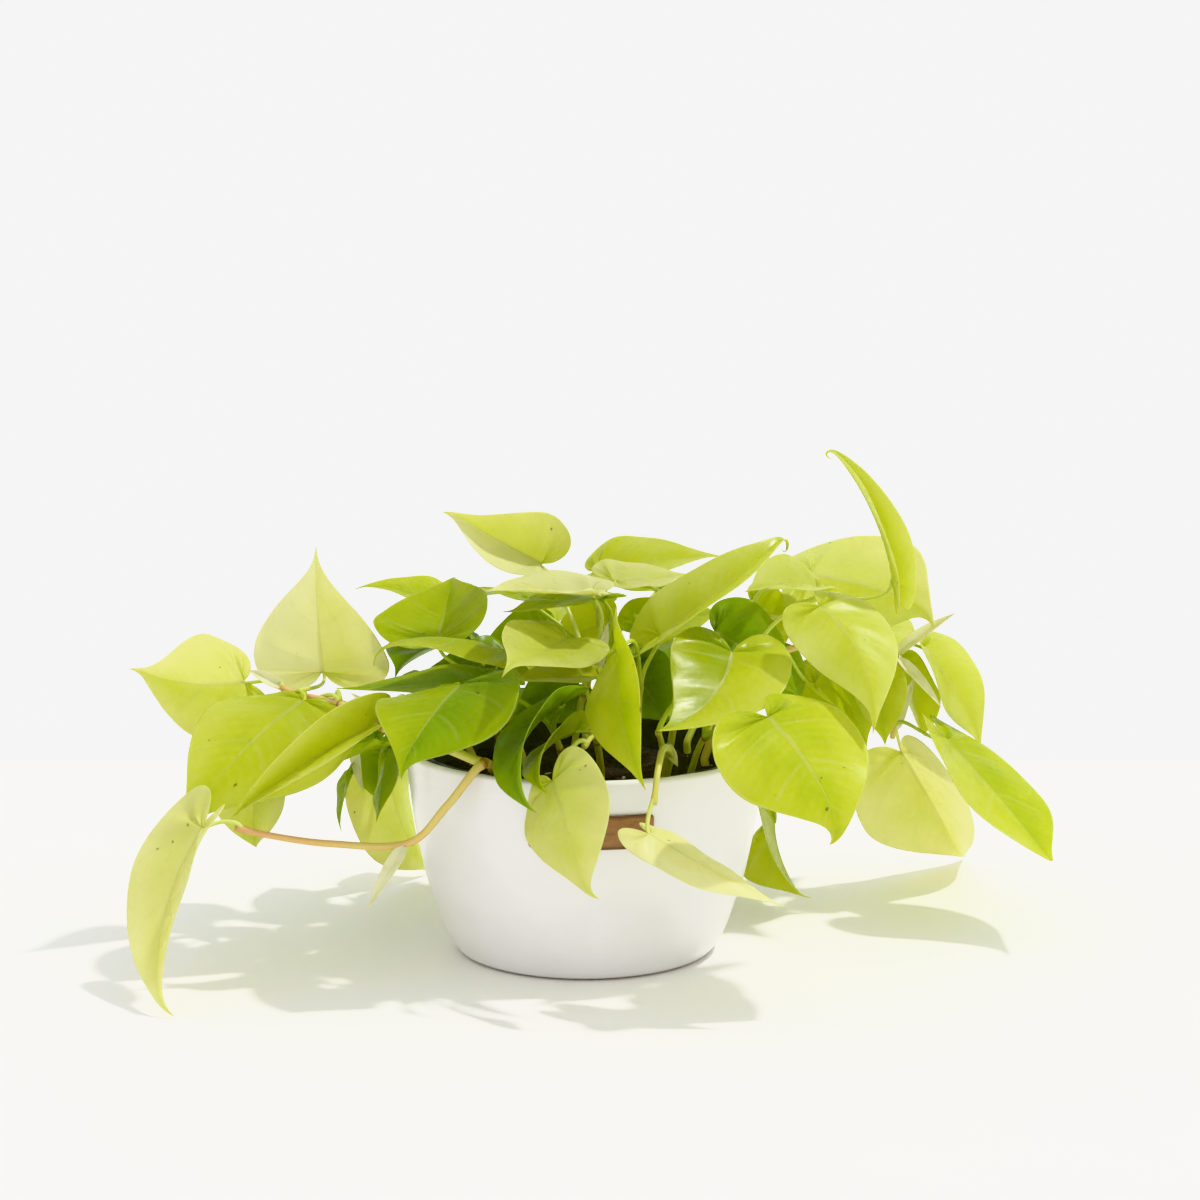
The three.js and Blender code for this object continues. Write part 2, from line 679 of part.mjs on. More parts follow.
        { arch: 40, hook: 0, sweep: 15, twist: -15, fold: 15 }),
      leaf(0, 5, [154, -23, 193], [123, -3, 257], [0.45, -0.9, 0.15], 30,
        { arch: 70, hook: 70, twist: 15, fold: 65 }),
    ],
    [
      sheath(0, 4, [96, -4, 158], [0.3, -0.8, 0.4], 8),
    ],
  ),
  vine(
    "vine_right",
    [
      [
        [62, 8, 92], [63, 10, 100], [76, 22, 128], [104, 46, 146], [140, 68, 148], [168, 82, 138],
        [172, 96, 108], [170, 106, 88],
      ],
    ],
    2.2,
    [
      leaf(0, 5, [186, 100, 140], [218, 97, 82], [0.9, -0.25, 0.35], 62,
        { arch: 20, hook: 20, sweep: 15, twist: 45 }),
      leaf(0, 5, [174, 101, 129], [192, 127, 84], [-0.6, -0.6, 0.5], 40,
        { arch: 10, hook: 40, sweep: -35, twist: 5, fold: -15 }),
      leaf(0, 7, [194, 61, 96], [240, -23, 47], [0.75, -0.45, 0.5], 74,
        { arch: -5, hook: -15, sweep: -45, twist: 45, fold: 5 }),
      leaf(0, 7, [178, 129, 75], [223, 182, 1], [-0.4, -0.9, 0.25], 86,
        { arch: 15, hook: 35, sweep: -10, twist: 10, fold: 45 }),
      leaf(0, 4, [146, 104, 152], [184, 150, 124], [0.4, 0.5, 0.75], 54),
      leaf(0, 3, [122, 58, 126], [150, 66, 82], [0.6, -0.2, 0.8], 44),
    ],
    [
      sheath(0, 5, [198, 62, 165], [0, -0.8, 0.6], 9),
      sheath(0, 5, [192, 66, 112], [0.4, -0.9, 0.2], 8),
      sheath(0, 7, [180, 84, 128], [-0.2, -0.9, 0.2], 9),
    ],
  ),
  vine(
    "vine_back_right",
    [
      [
        [54, 46, 92], [55, 48, 100], [66, 62, 114], [84, 80, 104], [96, 90, 78], [100, 94, 60],
      ],
    ],
    2,
    [
      leaf(0, 5, [104, 97, 43], [122, 61, 8], [-0.65, -0.65, -0.4], 68,
        { arch: 45, hook: 55, sweep: -25, twist: 20, fold: 25 }),
      leaf(0, 2, [78, 76, 148], [108, 120, 126], [0.3, 0.6, 0.75], 54),
      leaf(0, 4, [110, 100, 116], [142, 140, 80], [0.5, 0.5, 0.7], 52),
      leaf(0, 3, [62, 106, 108], [68, 148, 56], [0.1, 0.8, 0.5], 50),
    ],
  ),
  vine(
    "vine_back",
    [
      [
        [0, 62, 92], [0, 64, 100], [2, 76, 116], [4, 98, 112], [6, 112, 90], [8, 118, 70],
      ],
    ],
    2,
    [
      leaf(0, 2, [-8, 84, 166], [-18, 140, 144], [0, 0.6, 0.8], 54),
      leaf(0, 3, [22, 100, 140], [32, 152, 98], [0.1, 0.75, 0.65], 56),
      leaf(0, 4, [-20, 106, 108], [-36, 148, 56], [-0.1, 0.85, 0.5], 50),
      leaf(0, 5, [24, 126, 68], [42, 174, 16], [0.2, 0.7, 0.7], 50),
      leaf(0, 5, [-8, 124, 54], [-26, 170, 8], [-0.2, 0.6, 0.75], 46),
    ],
  ),
];

// The materials.
function material(color, roughness) {
  return new THREE.MeshStandardMaterial({ color, roughness, metalness: 0 });
}
const glaze = material(0xe9e8e4, 0.15);
const plateBrown = material(0x8a6440, 0.6);
const blackPlastic = material(0x1b1b1b, 0.35);
const soilBrown = material(0x2b211a, 0.95);
const leafGreen = material(0xb9d13c, 0.4);

const plant = new THREE.Group();
function addPiece(name, geometry, finish) {
  const mesh = new THREE.Mesh(geometry, finish);
  mesh.name = name;
  plant.add(mesh);
}

addPiece("pot", potGeometry(), glaze);
addPiece("front_plate", plateGeometry(), plateBrown);
addPiece("nursery_pot", nurseryGeometry(), blackPlastic);
addPiece("soil", soilGeometry(VINES), soilBrown);
VINES.forEach((each) => addPiece(each.name, vineGeometry(each), leafGreen));

export default plant;
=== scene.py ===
"""The looks of a potted neon philodendron, in metres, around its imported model.

Every leaf is shaped by the same formula and from the same places as in the model, with more faces, veins
and thinner blades. The pots, the plate and the soil are turned and shaped again with finer detail.
"""

import math
import random

import bmesh
import bpy
import numpy as np
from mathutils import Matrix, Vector, noise


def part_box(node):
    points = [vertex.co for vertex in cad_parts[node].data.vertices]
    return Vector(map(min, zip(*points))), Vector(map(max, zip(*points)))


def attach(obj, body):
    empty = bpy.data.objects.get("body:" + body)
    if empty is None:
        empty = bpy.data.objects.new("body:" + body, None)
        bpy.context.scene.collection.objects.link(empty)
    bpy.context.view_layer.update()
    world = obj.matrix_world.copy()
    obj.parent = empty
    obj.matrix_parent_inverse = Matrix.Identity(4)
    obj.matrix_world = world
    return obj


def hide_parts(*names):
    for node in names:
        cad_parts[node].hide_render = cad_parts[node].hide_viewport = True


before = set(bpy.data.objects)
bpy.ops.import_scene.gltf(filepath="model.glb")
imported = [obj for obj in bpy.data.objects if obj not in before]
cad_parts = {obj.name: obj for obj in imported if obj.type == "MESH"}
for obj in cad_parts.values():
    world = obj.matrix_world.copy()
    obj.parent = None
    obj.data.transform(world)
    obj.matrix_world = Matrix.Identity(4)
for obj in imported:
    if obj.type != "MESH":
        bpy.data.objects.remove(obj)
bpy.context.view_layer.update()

MM = 0.001

# Camera, worked out from the ellipses of the pot's rim and base in the photograph.
CAMERA_PLACE = (0.0076, -1.28, 0.365)
CAMERA_DOWN = math.radians(8.2)
CAMERA_LENS = 76.2
CAMERA_SENSOR = 36.0
CAMERA_NEAR = 0.05

# The table top ends a little behind the pot.
TABLE_BACK = 0.47
TABLE_FRONT = -1.6
TABLE_SIDE = 1.9
TABLE_THICKNESS = 0.03
TABLE_EDGE_ROUND = 3 * MM
TABLE_EDGE_STEPS = 3
TABLE_GAP = 0.2 * MM

# The white pot. Its outside runs from the base up, as (radius, height).
POT_HEIGHT = 106 * MM
POT_BASE_RADIUS = 62 * MM
POT_RIM_RADIUS = 92 * MM
POT_RIM_ROUND = 2 * MM
POT_SIDE = [
    (0.066, 0.0015), (0.070, 0.007), (0.074, 0.015), (0.078, 0.027), (0.082, 0.039), (0.0864, 0.060),
    (0.089, 0.076), (0.091, 0.094), (POT_RIM_RADIUS, POT_HEIGHT - POT_RIM_ROUND),
]
POT_SIDE_STEPS = 8
POT_RIM_START = 0.15
POT_RIM_STEPS = 10
POT_RIM_DEPTH = 3 * MM
POT_WALL = 4.5 * MM
POT_FLOOR = 6 * MM
POT_FLOOR_ROUND = 4 * MM
POT_FACETS = 160
FOOT_RING = 52 * MM
FOOT_RECESS = 1.2 * MM
POT_LINE_HEIGHT = 95 * MM
POT_LINE_DEPTH = 0.25 * MM
POT_LINE_WIDTH = 0.8 * MM

# The plate on the front of the pot, with a shallow line along its edge, where it also thins a little.
PLATE_WIDTH = 62 * MM
PLATE_HEIGHT = 17 * MM
PLATE_MIDDLE = 80.5 * MM
PLATE_ASIDE = 3.3 * MM
PLATE_THICKNESS = 1.2 * MM
PLATE_GAP = 0.4 * MM
PLATE_CORNER = 2.5 * MM
PLATE_LINE_INSET = 1.4 * MM
PLATE_LINE_WIDTH = 0.5 * MM
PLATE_LINE_DEPTH = 0.25 * MM
PLATE_EDGE_ROUND = 0.6 * MM
PLATE_EDGE_START = 0.25
PLATE_EDGE_SHARE = 0.55
PLATE_FACES = (96, 26)

# The nursery pot with its drain holes.
NURSERY_TOP = 104.5 * MM
NURSERY_TOP_RADIUS = 83 * MM
NURSERY_FOOT_RADIUS = 57 * MM
NURSERY_FOOT_ROUND = 1 * MM
NURSERY_WALL = 1.2 * MM
NURSERY_LIP = 2.4 * MM
NURSERY_LIP_DEPTH = 3 * MM
NURSERY_LIP_ROUND = 0.7 * MM
NURSERY_EDGE_ROUND = 0.4 * MM
NURSERY_FACETS = 128
DRAIN_HOLES = 6
DRAIN_RADIUS = 5 * MM
DRAIN_CIRCLE = 40 * MM
DRAIN_SIDES = 24
DRAIN_CUT = (-2 * MM, 6 * MM)
GAP = 0.3 * MM

# The soil: its broad lumps, its grain, and its loose crumbs with a few pale grains among them.
SOIL_TOP = 92 * MM
SOIL_RELIEF = 1.6 * MM
SOIL_SHOULDER = (3 * MM, 8 * MM)
SOIL_RINGS = 40
SOIL_FACETS = 144
LUMP_SIZE = 9 * MM
SOIL_GRAIN = 1.1 * MM
GRAIN_SIZE = 4 * MM
GRAIN_FRACTAL = (0.8, 2.2, 4)
CRUMBS = 420
CRUMB_SEED = 7
CRUMB_SIZES = (0.8 * MM, 2.6 * MM)
CRUMB_SUNK = 0.2
CRUMB_WIDE = (0.6, 1.1)
CRUMB_HIGH = (0.4, 0.8)
CRUMB_LUMPS = 0.35
CRUMB_LUMP_RATE = 1.3
CRUMB_TONES = (0.1, 0.5)
PALE_GRAINS = 0.06

# Leaf blades. The rib's width is a share of the half width, and a vein's is a share of the way along the
# margin from base to tip. The blade swells between its veins, most at its lobes and least where it is
# narrow.
BLADE_THICKNESS = 0.45 * MM
EDGE_THICKNESS = 0.3 * MM
RIB_HEIGHT = 0.6 * MM
RIB_GROOVE = 0.12 * MM
RIB_WIDTH = 0.035
SIDE_VEINS = 6
FINE_VEINS = 5
VEIN_DEPTH = 0.08 * MM
VEIN_WIDTH = 0.014
VEIN_SWELL = 0.65 * MM
LOBE_SWELL = 1.3 * MM
LOBE_REACH = 0.22
FULL_RELIEF = 14 * MM
RELIEF_FADE = 0.7
VEIN_FORWARD = 0.2
VEIN_SIDEWAYS = 0.65
ROWS_PER_POINT = 6
BLADE_COLUMNS = (0, 0.035, 0.1, 0.22, 0.36, 0.5, 0.64, 0.78, 0.9, 0.975, 1)
SHEATH_COLUMNS = (0, 0.15, 0.4, 0.7, 0.95, 1)
UNDERSIDE_MARK = 0.5

# Stems and petioles. Swell, tapers, foot and collar are shares of the radius. What starts or is last lies
# at a share of the length, and a petiole's lean, rise and bend are shares of the distance that it spans.
ROOT_DEPTH = 20 * MM
LAST_NODE = 0.97
NODE_STEPS = 8
NODE_SWELL = 0.3
NODE_LENGTH = 2.6 * MM
LAST_SCAR = 0.9
STEM_TAPER = 0.45
STEM_TAPER_START = 0.3
STEM_TAPER_CURVE = 0.8
STEM_STEPS = 10
STEM_SIDES = 14
PETIOLE_RADIUS = 1.1 * MM
PETIOLE_FOOT = 1.15
PETIOLE_TAPER = 0.35
PETIOLE_COLLAR = 0.5
PETIOLE_COLLAR_FADE = 14
PETIOLE_LEAN = 0.1
PETIOLE_RISE = 0.3
PETIOLE_BEND = 0.35
PETIOLE_HEADING = (0.75, 0.0, 0.65)
PETIOLE_INTO_BLADE = 1.5 * MM
PETIOLE_STEPS = 14
PETIOLE_SIDES = 10

# What counts as on the axis, as off the midrib (in half widths), as one corner, and as nearly upright.
ON_AXIS = 1e-7
OFF_MIDRIB = 1e-6
SAME_CORNER = 2e-6
UPRIGHT = 0.9

# Half a leaf's outline: along the midrib as a share of the length, sideways as a share of the half width,
# and where the point's vein leaves the midrib.
LEAF_OUTLINE = [
    (0.0, 0.0, 0.0), (-0.09, 0.13, 0.0), (-0.155, 0.36, 0.0), (-0.15, 0.62, 0.0), (-0.06, 0.85, 0.0),
    (0.1, 0.99, 0.0), (0.27, 0.98, 0.08), (0.45, 0.82, 0.22), (0.61, 0.57, 0.38), (0.74, 0.32, 0.55),
    (0.85, 0.13, 0.72), (0.93, 0.045, 0.86), (1.0, 0.0, 1.0),
]
SHEATH_OUTLINE = [(0.0, 0.0, 0.0), (0.2, 0.9, 0.1), (0.6, 0.8, 0.5), (1.0, 0.0, 1.0)]
MIDRIB_START = -0.2
MIDRIB_STEPS = 120
HOOK_START = 0.72
CURL_START = 0.84
CURL_GROWTH = 1.5
FOLD_SOFTNESS = 0.03
RIPPLES = 1.6
RIPPLE_LAG = 0.9
LEAF_SHAPE = dict(tone=0.5, half=0, size=0.985, arch=30, hook=25, sweep=0, twist=0, fold=12, curl=0, tail=0,
                  bend=PETIOLE_BEND, rise=PETIOLE_RISE, wave=1.2 * MM)

# Colours, as codes. A leaf's run from young to old, and the glow is what comes through it.
LEAF_COLOURS = [
    (0.0, "E6E6B5"), (0.15, "DADA9B"), (0.3, "CDD179"), (0.45, "C3C94B"), (0.6, "ADB927"), (0.8, "93AD1D"),
    (1.0, "557616"),
]
LEAF_GLOW = [
    (0.0, "F5F4CB"), (0.15, "F0F0AC"), (0.3, "E8ED89"), (0.45, "DFE552"), (0.6, "CDDA2B"), (0.8, "ACC81D"),
    (1.0, "698616"),
]
GLOW_VEIN_COLOUR = "B4B43C"
VEIN_COLOUR = "F2F3B8"
UNDERSIDE_COLOUR = "DDE48C"
TIP_COLOUR = "D2AC58"
BLEMISH_COLOUR = "6E5A1E"
GLOW_COLOUR = "F6FF8A"
STEM_COLOURS = [(0.0, "C4CC62"), (0.35, "D8CF74"), (0.65, "E2C27C"), (1.0, "DFA07A")]
PETIOLE_COLOURS = [(0.0, "E2E58C"), (0.5, "C6D455"), (1.0, "A3BC3C")]
SCAR_COLOUR = "8A4A20"
STEM_SPECK_COLOUR = "F0E6B0"
SHEATH_COLOURS = [(0.2, "E6E3BC"), (0.5, "F5F2DE"), (0.85, "FBFAF2")]
SHEATH_TIP_COLOUR = "E2D6A4"
GLAZE_COLOURS = [(0.3, "DEDCDB"), (0.7, "E2E0E0")]
GLAZE_SPECK_COLOUR = "CFC9BC"
BARE_CLAY_COLOUR = "B9A58C"
PLATE_COLOURS = [(0.2, "5E3F24"), (0.5, "8A6440"), (0.85, "A98058")]
PLATE_EDGE_COLOUR = "4A2E19"
PLASTIC_COLOURS = [(0.3, "0E0E0E"), (0.75, "1C1B1A")]
SOIL_COLOURS = [(0.3, "0C0805"), (0.55, "211710"), (0.85, "3C2C1F")]
PALE_GRAIN_COLOUR = "B8B0A0"
TABLE_COLOURS = [(0.3, "F9F7F5"), (0.7, "FBFAF8")]
ROOM_COLOURS = [(0.0, "FFFFFF"), (1.0, "D3D5D8")]
KEY_COLOUR = "FFFDF9"

# How strongly each mark of a leaf shows. The first four shift its age.
MOTTLE = 0.2
SPECKLE = 0.08
OLDER_BASE = 0.08
OLDER_MIDDLE = 0.05
FINE_VEINS_SHOW = 0.12
VEINS_SHOW = 0.28
RIB_SHOWS = 0.55
MARGIN_SHOWS = 0.6
UNDERSIDE_SHOWS = 0.4
TIP_SHOWS = 0.5
BLEMISHES_SHOW = 0.6
DARK_LINES_SHOW = 0.35

# Where a leaf's marks begin and are full: along from base to tip, across from midrib to margin, or as a
# share of the way to the next line.
BASE_SPAN = (0.5, 0.1)
MIDDLE_SPAN = (0.2, 1.0)
VEIN_FOOT_SPAN = (0.03, 0.12)
VEIN_END_SPAN = (0.97, 0.7)
VEIN_LINE = 0.07
FINE_VEIN_LINE = 0.4
RIB_SPAN = (0.04, 0.015)
MARGIN_SPAN = (0.965, 0.985)
TIP_SPAN = (0.95, 1.0)

# Which values of a noise or of a carried number bring out a mark, and how strongly the marks of the other
# pieces show.
UNDERSIDE_SPAN = (0.8, 0.7)
BLEMISH_SPAN = (0.78, 0.82)
STREAKS_SHOW = 0.6
SCAR_SPAN = (0.8, 1.3)
SCARS_SHOW = 0.85
STALK_SPAN = (1.2, 1.8)
STEM_SPECK_SPAN = (0.62, 0.75)
STEM_SPECKS_SHOW = 0.35
SHEATH_RIBS = 9.0
SHEATH_TIP_SPAN = (0.75, 1.0)
SHEATH_TIP_SHOWS = 0.45
GLAZE_SPECK_SPAN = (0.72, 0.78)
GLAZE_SPECKS_SHOW = 0.16
BARE_CLAY_SHOWS = 0.75
PLATE_EDGE_SPAN = (PLATE_HEIGHT / 2 - 2.2 * MM, PLATE_HEIGHT / 2 - 0.6 * MM)
PLATE_EDGE_SHOWS = 0.7
PALE_GRAIN_SPAN = (0.85, 0.95)

# How rough each surface is, from and to, and how much of the light passes through the thin ones.
LEAF_ROUGHNESS = (0.23, 0.36)
STEM_ROUGHNESS = (0.36, 0.5)
SHEATH_ROUGHNESS = (0.45, 0.65)
GLAZE_ROUGHNESS = (0.29, 0.33)
PLATE_ROUGHNESS = (0.42, 0.6)
PLASTIC_ROUGHNESS = (0.36, 0.55)
SOIL_ROUGHNESS = (0.75, 0.95)
TABLE_ROUGHNESS = 0.6
LEAF_THROUGH = 0.58
STEM_THROUGH = 0.2
SHEATH_THROUGH = 0.45
MOST_NOISE = (0.3, 0.7)

# How far apart the pot's turning lines are, and where the bare clay of its foot ends and is full.
TURNING_LINES = 3.1 * MM
BARE_CLAY = (2.2 * MM, 1.2 * MM)

# How pink a stem is where it starts and where it ends, from 0 to 1. Petioles are marked by a higher number.
BLUSH = {"vine_left": (0.25, 0.85), "vine_left_inner": (0.3, 0.4), "vine_right": (0.4, 0.55)}
COMMON_BLUSH = (0.05, 0.2)
PETIOLE_KIND = 2.0

# The room, and a key light that is small and far off: above, to the right and a little behind, as the
# shadows show.
ROOM_STRENGTH = 1.26
CEILING_SPAN = (0.15, 0.75)
KEY_FROM = (0.45, 0.06, 1.0)
KEY_WIDTH = math.radians(3.0)
KEY_POWER = 2.6


def metres(value):
    """A length or a place, from millimetres."""
    return np.asarray(value, float) / 1000


def leaf(at, base, tip, face, width, stem=0, **shape):
    """A leaf on the point "at" along a stem. Its petiole joins the blade at "base", and "face" is where the
    blade's upper side looks. "tone" runs from 0, pale and young, to 1, old and dark. "half" is painted
    shade:
    how much darker its left half is drawn than the middle of the two, as if that half lay in shade, while
    the right half is drawn as much paler. "size" draws the blade smaller about its base, so that its finer
    shape stays in the model's box. "bend" and "rise" shape its petiole. The rest bends the blade, in
    degrees: "curl" and "tail" turn only its tip, down and sideways."""
    return dict(LEAF_SHAPE, stem=stem, at=at, base=metres(base), tip=metres(tip), face=face,
                width=metres(width), **shape)


def sheath(at, tip, face, width, stem=0):
    """A dry sheath that once wrapped a young leaf: a small folded blade that starts in the stem."""
    return dict(LEAF_SHAPE, stem=stem, at=at, tip=metres(tip), face=face, width=metres(width), arch=20,
                hook=0, fold=35, wave=0.0)


def vine(name, radius, stems, leaves, sheaths=()):
    return dict(name=name, radius=metres(radius), stems=[metres(stem) for stem in stems], leaves=leaves,
                sheaths=sheaths)
